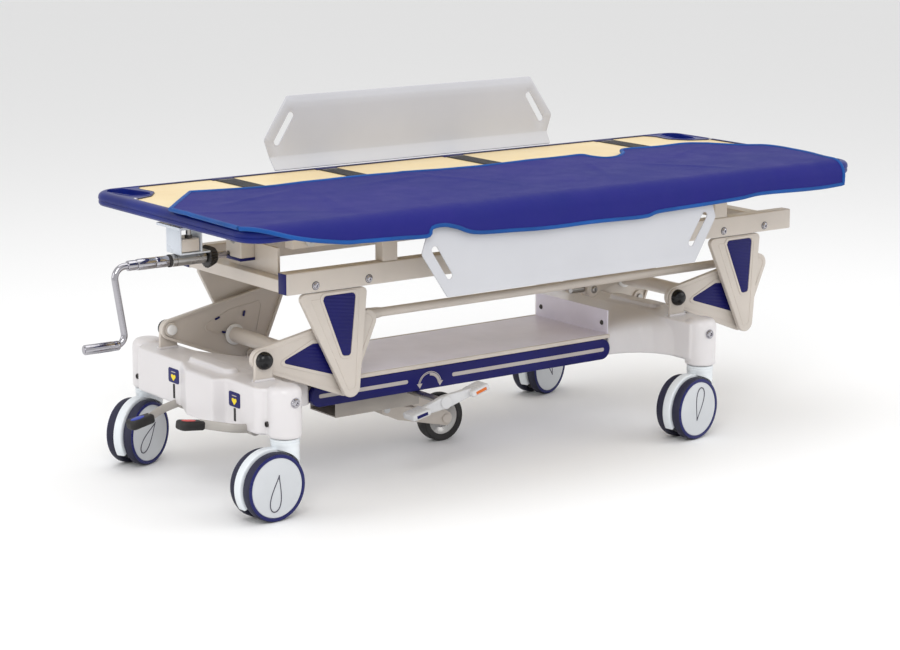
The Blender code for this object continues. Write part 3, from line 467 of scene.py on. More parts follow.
def turned(name, material, profile, place=(0, 0, 0), way=(0, 0, 1), sides=48):
    """A (radius, height) profile turned about an axis. It ends on the axis, or closes on itself."""
    bm = bmesh.new()
    rings = []
    for radius, height in profile:
        if radius < 1e-7:
            rings.append([bm.verts.new((0, 0, height))])
        else:
            rings.append([bm.verts.new((radius * math.cos(2 * math.pi * k / sides),
                radius * math.sin(2 * math.pi * k / sides), height)) for k in range(sides)])
    pairs = list(zip(rings, rings[1:]))
    if len(rings[0]) > 1:
        pairs.append((rings[-1], rings[0]))
    for one, other in pairs:
        for k in range(sides):
            a, b = one[k % len(one)], one[(k + 1) % len(one)]
            c, d = other[(k + 1) % len(other)], other[k % len(other)]
            corners = [v for v in dict.fromkeys((a, b, c, d))]
            if len(corners) > 2:
                bm.faces.new(corners)
    bmesh.ops.transform(bm, matrix=facing(place, way), verts=bm.verts)
    return made(name, bm, material)


def drum(name, material, start, end, radius, edge=0.0008, sides=40):
    start, end = Vector(start), Vector(end)
    length = (end - start).length
    profile = [(0, 0), (radius - edge, 0), (radius, edge), (radius, length - edge),
        (radius - edge, length), (0, length)]
    return turned(name, material, profile, start, end - start, sides)


def pin(name, material, x, y, z, radius, *more):
    """A drum across the trolley, between two values of Y."""
    return drum(name, material, (x, y[0], z), (x, y[1], z), radius, *more)


def tube(name, material, line, radius, sides=16, closed=False, flat=1.0, up=None):
    """A round or flattened bar along a line of points."""
    line = [Vector(point) for point in line]
    count = len(line)
    bm = bmesh.new()
    rings = []
    normal = None
    for k, point in enumerate(line):
        back = line[k - 1] if closed or k else line[0]
        ahead = line[(k + 1) % count] if closed or k < count - 1 else line[-1]
        way = (ahead - back).normalized()
        if up is not None:
            normal = (Vector(up) - way * way.dot(Vector(up))).normalized()
        elif normal is None:
            normal = way.orthogonal().normalized()
        else:
            normal = (normal - way * way.dot(normal)).normalized()
        side = way.cross(normal)
        reach = radius[k] if isinstance(radius, (list, tuple)) else radius
        rings.append([bm.verts.new(point + normal * math.sin(2 * math.pi * s / sides) * reach * flat
            + side * math.cos(2 * math.pi * s / sides) * reach) for s in range(sides)])
    bands(bm, rings + (rings[:1] if closed else []))
    if not closed:
        bm.faces.new(rings[0][::-1])
        bm.faces.new(rings[-1])
    return made(name, bm, material, 50)


def joined(name, objects):
    """Several objects made one, each keeping its material."""
    bm = bmesh.new()
    materials = []
    for obj in objects:
        start = len(bm.faces)
        bm.from_mesh(obj.data)
        bm.faces.ensure_lookup_table()
        kept = obj.data.materials[0]
        if kept not in materials:
            materials.append(kept)
        for face in bm.faces[start:]:
            face.material_index = materials.index(kept)
    mesh = bpy.data.meshes.new(name)
    bm.to_mesh(mesh)
    bm.free()
    for obj in objects:
        bpy.data.objects.remove(obj, do_unlink=True)
    made_one = bpy.data.objects.new(name, mesh)
    bpy.context.scene.collection.objects.link(made_one)
    for kept in materials:
        mesh.materials.append(kept)
    return made_one


def place(obj, body, *replaced, slot=None, matrix=None):
    """The piece set down in the object's frame, on its body, in the place of CAD nodes."""
    obj.matrix_world = Matrix.Translation(BASE) @ (matrix or Matrix())
    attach(obj, body)
    if replaced:
        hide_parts(*replaced)
    return obj


def fit(name, parts, body, *replaced, **more):
    """Parts joined into one piece and set down."""
    place(joined(name, parts), body, *replaced, **more)


def bolt(at, way, radius, material):
    """A domed bolt head with a hexagon socket."""
    height = radius * 0.62
    rim = [(0, -0.001), (radius * 1.18, -0.001), (radius * 1.18, 0.0004), (radius, 0.0006),
        (radius * 0.97, height * 0.45), (radius * 0.8, height * 0.85), (radius * 0.52, height)]
    head = turned("bolt", material, rim + [(radius * 0.44, height - 0.0003),
        (radius * 0.4, height * 0.35), (0, height * 0.3)], at, way, 24)
    floor = turned("socket", "dark_steel", [(0, height * 0.2), (radius * 0.41, height * 0.2),
        (radius * 0.41, height * 0.42), (0, height * 0.42)], at, way, 6)
    return joined("bolt", [head, floor])


# ---- castors ------------------------------------------------------------------------------------
WHEEL_RADIUS = pivot("castor_spin_left_near").z
WHEEL_OUT = 0.0355
FORK_OUT = 0.0112
BARREL_RADIUS = 0.032
TEARDROPS = {"left_near": -100, "left_far": -132, "right_near": 78, "right_far": 110}


def teardrop(length, width):
    """A drop's outline, its tip at the far end."""
    line = []
    for k in range(48):
        t = 2 * math.pi * k / 48
        line.append(Vector((-math.cos(t) * length / 2,
            math.sin(t) * math.sin(t / 2) ** 1.6 * width * 0.72, 0)))
    return line


def castor_skirt(trail, radius, top):
    """The barrel's lower part, cut away over the wheels."""
    sides = 48
    clear = WHEEL_RADIUS + 0.0035
    bm = bmesh.new()
    lid = [bm.verts.new((radius * math.cos(2 * math.pi * k / sides),
        radius * math.sin(2 * math.pi * k / sides), top)) for k in range(sides)]
    rows = []
    for share in (1.0, 0.75, 0.5, 0.25):
        row = []
        for k in range(sides):
            a = 2 * math.pi * k / sides
            x = share * radius * math.cos(a)
            fall = math.sqrt(max(0.0, clear ** 2 - (trail + x) ** 2))
            row.append(bm.verts.new((x, share * radius * math.sin(a), max(0.112, WHEEL_RADIUS + fall))))
        rows.append(row)
    middle = bm.verts.new((0, 0, WHEEL_RADIUS + math.sqrt(clear ** 2 - trail ** 2)))
    bands(bm, [lid, *rows])
    for k in range(sides):
        bm.faces.new((rows[-1][k], rows[-1][(k + 1) % sides], middle))
    bm.faces.new(lid)
    return made("skirt", bm, "castor")


def castor(corner):
    swivel, axle = pivot(f"castor_swivel_{corner}"), pivot(f"castor_spin_{corner}")
    ahead = Vector((swivel.x - axle.x, swivel.y - axle.y, 0.0))
    trail = ahead.length
    turn = Matrix.Translation((swivel.x, swivel.y, 0)) @ Matrix.Rotation(math.atan2(ahead.y, ahead.x), 4,
        "Z")
    top = box(f"castor_housing_{corner}")[1].z - 0.04
    hub = (-trail, WHEEL_RADIUS)
    half = FORK_OUT
    fender = WHEEL_RADIUS + 0.006
    outline = arc(hub, fender, 34, 214, 48) + arc(hub, 0.024, 232, 330, 10)
    plate = slab("fender", "castor", outline, -half, half, "Y", 0.0035, segments=4)
    low = 2 * WHEEL_RADIUS + 0.0012
    wide = BARREL_RADIUS
    barrel = turned("barrel", "castor", [(0, top + 0.004), (0.012, top + 0.004), (0.012, top),
        (wide - 0.0015, top), (wide, top - 0.0015), (wide, top - 0.0055), (wide - 0.0012, top - 0.0062),
        (wide - 0.0012, top - 0.0072), (wide, top - 0.008), (wide, low + 0.007),
        (wide - 0.002, low + 0.002), (wide - 0.006, low), (0, low)])
    neck = castor_skirt(trail, 0.0312, low + 0.006)
    # Painted shade: a thin black ring on top of the barrel, just under the cover's leg.
    shade_ring = turned("painted_shade_ring", "rubber", [(0.0285, top + 0.0002), (0.031, top + 0.0002),
        (0.031, top + 0.0006), (0.0285, top + 0.0006)])
    body = joined(f"castor_body_{corner}", [plate, barrel, neck, shade_ring])
    place(body, f"castor_{corner}", f"castor_housing_{corner}", slot="castor_white", matrix=turn)

    spin = turn @ Matrix.Translation((-trail, 0, WHEEL_RADIUS))
    face = WHEEL_OUT
    inner, r = half + 0.0007, WHEEL_RADIUS
    tyres, rings, discs, drops = [], [], [], []
    for sign in (-1, 1):
        way = (0, sign, 0)
        tyres.append(turned("tyre", "tyre", [(0.058, inner), (r - 0.005, inner),
            (r - 0.0018, inner + 0.001), (r, inner + 0.004), (r, face - 0.0055),
            (r - 0.0012, face - 0.0022), (r - 0.0026, face - 0.0008), (0.07, face - 0.0006),
            (0.058, face - 0.004)], way=way, sides=96))
        rings.append(turned("ring", "ring", [(0.0655, face - 0.004), (0.0655, face - 0.0002),
            (0.0666, face + 0.0006), (0.0712, face + 0.0006), (0.0728, face - 0.0002),
            (0.0728, face - 0.003)], way=way, sides=96))
        discs.append(turned("disc", "disc", [(0, inner), (0.0652, inner), (0.0652, face - 0.0012),
            (0.064, face - 0.0003), (0.04, face + 0.0004), (0, face + 0.0008)], way=way, sides=96))
        tilt = Matrix.Rotation(math.pi / 2, 4, "X") if sign < 0 else Matrix.Rotation(-math.pi / 2, 4, "X")
        drop = tube("drop", "line", teardrop(0.08, 0.028), 0.0012, 6, closed=True)
        drop.data.transform(Matrix.Translation((0, sign * (face + 0.0006), 0))
            @ Matrix.Rotation(-math.radians(TEARDROPS[corner]), 4, "Y") @ tilt
            @ Matrix.Translation((0.012, 0, 0)))
        drops.append(drop)
    axle_rod = pin("axle", "steel", 0, (-inner, inner), 0, 0.008)
    wheels = f"wheels_{corner}"
    fit(f"castor_tyres_{corner}", tyres, wheels, f"castor_wheels_{corner}", slot="tyre", matrix=spin)
    fit(f"castor_rings_{corner}", rings, wheels, matrix=spin)
    place(joined(f"castor_discs_{corner}", discs + drops + [axle_rod]), wheels, slot="castor_white",
        matrix=spin)


# ---- end covers ---------------------------------------------------------------------------------
STEM_X, STEM_Y = abs(pivot("castor_swivel_left_near").x), abs(pivot("castor_swivel_left_near").y)
COVER_LOW = 0.188
COVER_HIGH = 0.279
COVER_FRONT = 0.646
COVER_NOSE = 0.677
LEG_RADIUS = 0.037


def cover_waist():
    """The neck of a cover, from the shelf out to its body, as rows of (x, half width, top)."""
    rows = [(0.4335, 0.1385, 0.259), (0.46, 0.142, 0.262), (0.49, 0.152, 0.268), (0.515, 0.168, 0.273),
        (0.535, 0.19, 0.276), (0.55, 0.222, 0.278), (0.562, 0.262, 0.279), (0.58, 0.285, 0.279)]
    bm = bmesh.new()
    sections = []
    for x, half, top in rows:
        ring = []
        for k in range(33):
            a = math.pi * k / 32
            c, s = math.cos(a), math.sin(a)
            reach = math.copysign(abs(c) ** 0.35, c) * half
            ring.append(bm.verts.new((x, reach, COVER_LOW + (top - COVER_LOW) * s ** 0.42)))
        sections.append(ring)
    bands(bm, sections)
    bm.faces.new(sections[0])
    bm.faces.new(sections[-1][::-1])
    return made("waist", bm, "cover")


def end_cover(end, sign):
    """A moulding with a domed leg at each corner, a raised middle, a nose on its front and a pad on top."""
    front = [(COVER_FRONT, -0.262), (COVER_FRONT, -0.138), (COVER_NOSE, -0.126), (COVER_NOSE, -0.015),
        (COVER_FRONT, 0.06), (COVER_FRONT, 0.262)]
    radii = [0.004, 0.004, 0.03, 0.008, 0.008, 0.012, 0.014, 0.03]
    body = rounded([(0.556, 0.3), (0.556, -0.3), *front], radii)
    parts = [slab("body", "cover", body, COVER_LOW, COVER_HIGH, edge=0.01, segments=4)]
    apron = rounded([(0.585, 0.292), (0.585, -0.292), *front], radii)
    parts.append(slab("apron", "cover", apron, 0.1765, 0.26, edge=0.004))
    parts.append(cover_waist())
    hump = rounded([(0.56, 0.12), (0.56, -0.128), (COVER_NOSE - 0.004, -0.124),
        (COVER_NOSE - 0.004, -0.015), (COVER_FRONT, 0.06), (0.61, 0.12)], 0.012, count=4)
    parts.append(slab("hump", "cover", hump, 0.24, COVER_HIGH + 0.001, edge=0.004))
    pad = oblong((0.613, -0.028), 0.172, 0.036, 90)
    parts.append(slab("pad", "cover", pad, 0.26, COVER_HIGH + 0.012, edge=0.004))
    leg_low = 0.1735
    for y in (-STEM_Y, STEM_Y):
        r = LEG_RADIUS
        parts.append(turned("leg", "cover", [(0, 0.289), (r - 0.018, 0.2885), (r - 0.009, 0.286),
            (r - 0.003, 0.28), (r - 0.0004, 0.273), (r, 0.266), (r, leg_low + 0.003),
            (r - 0.002, leg_low), (0, leg_low)], (STEM_X, y, 0)))
    cover = joined("cover", parts)
    fine = cover.modifiers.new("skin", "REMESH")
    fine.mode = "VOXEL"
    fine.voxel_size = 0.0024
    melt = cover.modifiers.new("melt", "SMOOTH")
    melt.factor = 0.5
    melt.iterations = 12
    settle(cover, 180)
    mirror = Matrix.Diagonal((sign, 1, 1, 1))
    cover.data.transform(mirror)
    if sign < 0:
        cover.data.flip_normals()
    cover.name = f"cover_moulding_{end}"
    place(cover, "base", f"end_cover_{end}", slot="cover_white")

    trims = []
    for y in (-STEM_Y, STEM_Y):
        way = (0, math.copysign(1, y), 0)
        trims.append(bolt((sign * (STEM_X - 0.004), y + math.copysign(LEG_RADIUS - 0.0006, y), 0.2535),
            way, 0.01, "chrome"))
        trims.append(turned("rim", "dark_steel", [(0, -0.002), (0.0062, -0.002), (0.0062, 0.0056),
            (0.0052, 0.0062), (0.004, 0.006), (0.0036, 0.003), (0, 0.003)],
            (sign * (STEM_X + LEG_RADIUS * 0.9), y * 0.955, 0.203), (sign, 0, 0), 24))
    fit(f"cover_screws_{end}", trims, "base")


LABELS = ((0.089, 0.242), (-0.17, 0.238))


def labels():
    """Two plates on the crank end's cover, each with an arrow that points down, over a slot for the pedal."""
    parts = []
    front = -COVER_FRONT - 0.0005
    for y, z in LABELS:
        plate = pane((y - 0.0225, y + 0.0225), (z - 0.0165, z + 0.0165), 0.005)
        parts.append(slab("plate", "navy", plate, front - 0.0008, front + 0.004, "X", 0.0004))
        arrow = [(y, z - 0.012), (y + 0.0095, z - 0.003), (y + 0.0095, z + 0.0015),
            (y + 0.005, z + 0.003), (y, z + 0.0012), (y - 0.005, z + 0.003), (y - 0.0095, z + 0.0015),
            (y - 0.0095, z - 0.003)]
        parts.append(slab("arrow", "yellow", arrow, front - 0.0013, front, "X", 0))
        bar = pane((y - 0.009, y + 0.009), (z + 0.0075, z + 0.0095), 0.0009, 3)
        parts.append(slab("bar", "inlay", bar, front - 0.0011, front, "X", 0))
        parts.append(block("slot", "rubber", (front - 0.0003, front + 0.006), (y - 0.0042, y + 0.0042),
            (COVER_LOW + 0.002, z - 0.019), 0.0006))
    fit("pedal_labels", parts, "base", slot="navy_plastic")


# ---- base ---------------------------------------------------------------------------------------
def strips():
    """Navy side strips, each with grey inlays, an arched arrow between them and the shelf's lip above."""
    for side, sign in SIDES:
        low, high = box(f"side_strip_{side}")
        middle, tall, long = (low.z + high.z) / 2, high.z - low.z, high.x - low.x
        y = (low.y, high.y)
        strip = slab("strip", "navy", oblong(((low.x + high.x) / 2, middle), long, tall, 0, 20), *y, "Y",
            0.0022)
        out = y[0] if sign < 0 else y[1]
        face = sorted((out, out + sign * 0.0006))
        parts = [strip]
        for start, end in ((low.x + 0.02, -0.17), (-0.044, high.x - 0.02)):
            line = pane((start, end), (middle - 0.0045, middle + 0.0045), 0.0042, 5)
            parts.append(slab("inlay", "inlay", line, *face, "Y", 0))
        arch = (-0.108, low.z + 0.008)
        thin = arc(arch, 0.0335, 12, 168, 24) + arc(arch, 0.0318, 168, 12, 24)
        thick = arc(arch, 0.0305, 14, 90, 14) + arc(arch, 0.0235, 90, 14, 14)
        thinner = arc(arch, 0.0305, 90, 166, 14) + arc(arch, 0.0288, 166, 90, 14)
        heads = [[(arch[0] + way * 0.037, arch[1] + 0.0075), (arch[0] + way * 0.0215, arch[1] + 0.0075),
            (arch[0] + way * 0.0285, arch[1] - 0.0035)] for way in (-1, 1)]
        for shape in (thin, thick, thinner, *heads):
            parts.append(slab("arrow", "inlay", shape, *face, "Y", 0))
        fit(f"side_strip_moulding_{side}", parts, "base", f"side_strip_{side}", slot="navy_plastic")

        shelf_low, shelf_high = box("shelf")
        inner = sign * shelf_high.y
        lip = block(f"shelf_lip_{side}", "frame", (shelf_low.x, shelf_high.x),
            sorted((inner, inner + sign * 0.0075)), (high.z + 0.0006, shelf_low.z + 0.0036), 0.0012)
        place(lip, "base", slot="frame_paint")


def shelf_screws():
    face = box("shelf")[1].x - 0.0032
    screws = [bolt((face, sign * 0.118, 0.2665), (-1, 0, 0), 0.0052, "dark_steel") for sign in (-1, 1)]
    fit("shelf_screws", screws, "base")


# ---- rockers and hangers ------------------------------------------------------------------------
ROOT, APEX, ROD = pivot("lift"), pivot("upper_frame_level"), pivot("sync_rod_level")
REAR = pivot("rocker_right_turn").x - ROOT.x
BOSS = 0.024
# How far out from the middle plane the faces of each plate lie.
ROCKER_Y = (0.185, 0.197)
HANGER_Y = (0.2075, 0.22)
LUG_Y = (0.1985, 0.2065)


def xz(point, shift=0.0):
    return (point.x + shift, point.z)


def ring(name, material, outside, inside, y, edge=0.0005):
    """A flat ring between two (x, z) outlines."""
    return slab(name, material, outside, *y, "Y", edge, holes=[inside])


def skin(sign, out, depth):
    """The Y interval that stands proud of an outer face, and reaches a little into it."""
    return sorted((out - sign * 0.002, out + sign * depth))


def rocker(end, side, sign):
    shift = REAR if end == "right" else 0.0
    inner, outer = ROCKER_Y
    corners = [xz(point, shift) for point in (ROOT, APEX, ROD)]
    outline = hull([(*corner, BOSS) for corner in corners])
    pocket = hull([(*corner, BOSS - 0.006) for corner in corners])
    floor = slab("plate", "frame", outline, *sorted((sign * (outer - 0.006), sign * outer)), "Y", 0.0022,
        segments=4)
    flange = ring("flange", "frame", outline, pocket, sorted((sign * inner, sign * (outer - 0.004))),
        0.0008)
    parts = [floor, flange]
    for x, z in corners[:2]:
        parts.append(pin("boss", "frame", x, (sign * (inner + 0.0004), sign * (outer - 0.002)), z,
            0.0165))
    out = sign * outer
    ridge_out = hull([(*corner, BOSS - 0.0085) for corner in corners])
    ridge_in = hull([(*corner, BOSS - 0.0115) for corner in corners])
    parts.append(ring("ridge", "frame", ridge_out, ridge_in, skin(sign, out, 0.0009), 0.0004))
    insert = [(x + shift, z) for x, z in ((-0.545, 0.311), (-0.462, 0.343), (-0.352, 0.335),
        (-0.382, 0.258))]
    parts.append(slab("insert", "navy_ribbed", rounded(insert, [0.005, 0.01, 0.012, 0.012]),
        *skin(sign, out, 0.0012), "Y", 0.0006))
    inset = [(x + shift, z) for x, z in ((-0.556, 0.308), (-0.463, 0.352), (-0.338, 0.345),
        (-0.372, 0.246))]
    parts.append(ring("frame", "frame", rounded(inset, [0.007, 0.014, 0.016, 0.016]),
        rounded(insert, [0.005, 0.01, 0.012, 0.012]), skin(sign, out, 0.0016), 0.0005))
    back = sorted((sign * (outer - 0.006), sign * (outer - 0.0072)))
    groove = [(x + shift, z) for x, z in ((-0.52, 0.316), (-0.437, 0.352), (-0.345, 0.365),
        (-0.368, 0.262))]
    parts.append(ring("panel", "frame", rounded(groove, 0.01), rounded(grown(groove, -0.003), 0.008),
        back, 0.0003))
    for x, z, tilt in ((-0.47, 0.335, 20), (-0.398, 0.338, 75), (-0.452, 0.3, -15)):
        clip = oblong((x + shift, z), 0.014, 0.0045, tilt, 6)
        parts.append(slab("clip", "navy", clip, *sorted((sign * (outer - 0.007),
            sign * (outer - 0.0095))), "Y", 0.0004))
    if sign < 0:
        x, z = corners[2]
        parts.append(pin("rod_pin", "steel", x, (-0.19, -0.13), z, 0.006))
    fit(f"rocker_casting_{end}_{side}", parts, f"rocker_{end}", f"rocker_{end}_{side}",
        slot="frame_paint")


def grown(outline, distance):
    """An outline moved outwards, or inwards where distance is negative."""
    outline = outline if area(outline) > 0 else outline[::-1]
    moved = []
    for k, point in enumerate(outline):
        here = Vector(point)
        back = (here - Vector(outline[k - 1])).normalized()
        ahead = (Vector(outline[(k + 1) % len(outline)]) - here).normalized()
        out = Vector((back.y + ahead.y, -back.x - ahead.x)).normalized()
        moved.append(tuple(here + out * distance / max(0.4, out.dot(Vector((back.y, -back.x))))))
    return moved


def cross_tube(end):
    low, high = box(f"cross_tube_{end}")
    middle = (low + high) / 2
    tube_bar = pin("tube", "frame", middle.x, (low.y, high.y), middle.z, (high.z - low.z) / 2)
    parts = [tube_bar]
    for sign in (-1, 1):
        parts.append(turned("collar", "white_pin", [(0, 0.0), (0.0245, 0.0), (0.0245, 0.003),
            (0.0225, 0.0045), (0.019, 0.0055), (0, 0.0055)],
            (middle.x, sign * (high.y - 0.0002), middle.z), (0, -sign, 0)))
    fit(f"cross_tube_bar_{end}", parts, f"rocker_{end}", f"cross_tube_{end}", slot="frame_paint")


def hanger(end, side, sign):
    left = end == "left"
    apex = (APEX.x + (0.002 if left else REAR), APEX.z)
    top = box(f"hanger_{end}_{side}")[1].z
    corner = 0.012
    ends = (-0.505, -0.332) if left else (0.688, 0.852)
    circles = [(*apex, 0.023), (ends[0] + corner, top - corner, corner),
        (ends[1] - corner, top - corner, corner)]
    outline = hull(circles)
    inner, outer = HANGER_Y
    y = sorted((sign * inner, sign * outer))
    parts = [slab("plate", "frame", outline, *y, "Y", 0.0024, segments=4)]
    out = sign * outer
    if left:
        insert = [(-0.452, 0.45), (-0.363, 0.45), (-0.378, 0.31), (-0.398, 0.312)]
    else:
        insert = [(0.737, 0.45), (0.823, 0.45), (0.814, 0.316), (0.795, 0.314)]
    soft_in = rounded(insert, [0.009, 0.009, 0.007, 0.007])
    parts.append(slab("insert", "navy_ribbed", soft_in, *skin(sign, out, 0.0014), "Y", 0.0007))
    parts.append(ring("bead", "frame", rounded(grown(insert, 0.0065), [0.012, 0.012, 0.012, 0.012]),
        rounded(grown(insert, 0.001), [0.009, 0.009, 0.007, 0.007]), skin(sign, out, 0.0018), 0.0006))
    inner_line = hull([(apex[0], apex[1] + 0.004, 0.0125), (ends[0] + 0.03, top - 0.018, 0.004),
        (ends[1] - 0.022, top - 0.018, 0.004)])
    parts.append(ring("ridge", "frame", inner_line,
        hull([(apex[0], apex[1] + 0.006, 0.01), (ends[0] + 0.0335, top - 0.02, 0.003),
        (ends[1] - 0.0245, top - 0.02, 0.003)]), skin(sign, out, 0.0008), 0.0003))
    x = APEX.x + (0 if left else REAR)
    parts.append(pin("pin", "steel", x, (sign * 0.21, sign * 0.18), APEX.z, 0.008))
    fit(f"hanger_casting_{end}_{side}", parts, "upper_frame", f"hanger_{end}_{side}", slot="frame_paint")


def rocker_bracket(end, side, sign):
    """A lug outside its rocker, welded to the end cover, with a domed black cap on the pin."""
    foot = box(f"rocker_bracket_{end}_{side}")[0].z
    x = ROOT.x + (REAR if end == "right" else 0.0)
    z = ROOT.z
    inner, outer = LUG_Y
    y = sorted((sign * inner, sign * outer))
    outline = hull([(x, z, 0.0215), (x - 0.0135, foot + 0.006, 0.01), (x + 0.0135, foot + 0.006, 0.01)])
    lug = slab("lug", "frame", outline, *y, "Y", 0.0022, segments=4)
    bead = []
    for k in range(60):
        along = x - 0.024 + 0.048 * k / 59
        wobble = 0.0005 * math.sin(k * 1.9)
        bead.append((along, sign * (outer + 0.001 + wobble), foot + 0.0085))
    weld = tube("weld", "cover", bead, 0.0032, 10)
    back = tube("weld", "cover", [(u, sign * (inner - 0.0006), w) for u, _, w in bead], 0.003, 10)
    fit(f"rocker_lug_{end}_{side}", [lug, weld, back], "base", f"rocker_bracket_{end}_{side}",
        slot="frame_paint")

    way = (0, sign, 0)
    face = outer + 0.0004
    cap = turned("cap", "cap", [(0, 0.0185), (0.006, 0.018), (0.0115, 0.0163), (0.016, 0.013),
        (0.0188, 0.0085), (0.02, 0.0036), (0.02, 0), (0, 0)], (x, sign * face, z), way)
    shaft = pin("shaft", "steel", x, (sign * 0.184, sign * (face + 0.001)), z, 0.009)
    button = turned("button", "white_pin", [(0, 0), (0.0085, 0), (0.0112, 0.0012), (0.012, 0.004),
        (0.012, 0.007), (0, 0.007)], (x, sign * 0.1776, z), way)
    fit(f"rocker_pin_cap_{end}_{side}", [cap, shaft, button], "base", f"rocker_pin_{end}_{side}",
        slot="pin_black")


def sync_rod():
    low, high = box("sync_rod")
    y = (low.y + high.y) / 2
    z = ROD.z
    eyes = (ROD.x, ROD.x + REAR)
    parts = [drum("bar", "frame", (eyes[0] + 0.05, y, z), (eyes[1] - 0.05, y, z), 0.0105)]
    for x, way in zip(eyes, (1, -1)):
        outline = hull([(x, z, 0.0168), (x + way * 0.058, z, 0.0112)])
        parts.append(slab("eye", "frame", outline, y - 0.0055, y + 0.0055, "Y", 0.0018,
            holes=[circle((x, z), 0.0064)]))
        taper = [(0, 0), (0.0118, 0), (0.0132, 0.006), (0.0125, 0.03), (0.0104, 0.044), (0, 0.044)]
        parts.append(turned("neck", "frame", taper, (x + way * 0.034, y, z), (way, 0, 0)))
    fit("sync_rod_bar", parts, "sync_rod", "sync_rod", slot="frame_paint")


# ---- upper frame --------------------------------------------------------------------------------
RAIL_OUT = 0.22
BOLT_HEIGHT = 0.476
ROLLER_HEIGHT = 0.568


def frame_trims():
    """The rails' bolts and end caps, and the rollers that carry the deck."""
    rail_end = box("rail_near")[0].x
    parts = []
    for sign in (-1, 1):
        out = sign * RAIL_OUT
        for x in (-0.467, -0.327, 0.73, 0.866):
            parts.append(pin("washer", "dark_steel", x, (out - sign * 0.001, out + sign * 0.0009),
                BOLT_HEIGHT, 0.0098))
            parts.append(bolt((x, out + sign * 0.0006, BOLT_HEIGHT), (0, sign, 0), 0.0072, "chrome"))
    fit("rail_bolts", parts, "upper_frame", slot="frame_paint")

    caps = []
    for sign in (-1, 1):
        y = sorted((sign * 0.1895, sign * 0.2185))
        caps.append(block("cap", "navy", (rail_end - 0.0022, rail_end + 0.0006), y, (0.4625, 0.508),
            0.001))
    fit("rail_end_caps", caps, "upper_frame", slot="navy_plastic")

    rollers = []
    for x in (-0.455, -0.06, 0.33, 0.72):
        for sign in (-1, 1):
            rollers.append(pin("roller", "roller", x, (sign * 0.1802, sign * 0.1862), ROLLER_HEIGHT,
                0.0125, 0.0015))
            rollers.append(bolt((x, sign * 0.1862, ROLLER_HEIGHT), (0, sign, 0), 0.0042, "steel"))
    fit("track_rollers", rollers, "upper_frame", slot="steel")


def lift_drive():
    """The long arm under the frame that turns the crank's screw into the lift."""
    start, end = (0.483, 0.327), (0.7, 0.388)
    outline = hull([(*start, 0.016), (*end, 0.024)])
    arm = slab("arm", "frame", outline, -0.016, 0.006, "Y", 0.003)
    parts = [arm]
    parts.append(pin("boss", "frame", start[0], (-0.024, 0.014), start[1], 0.0195, 0.002))
    parts.append(bolt((start[0], -0.024, start[1]), (0, -1, 0), 0.0085, "steel"))
    parts.append(pin("nut", "frame", end[0], (-0.022, 0.012), end[1], 0.0265, 0.002))
    parts.append(drum("screw", "steel", (start[0] - 0.06, -0.005, start[1] + 0.002),
        (start[0], -0.005, start[1]), 0.008))
    return joined("lift_drive_arm", parts)


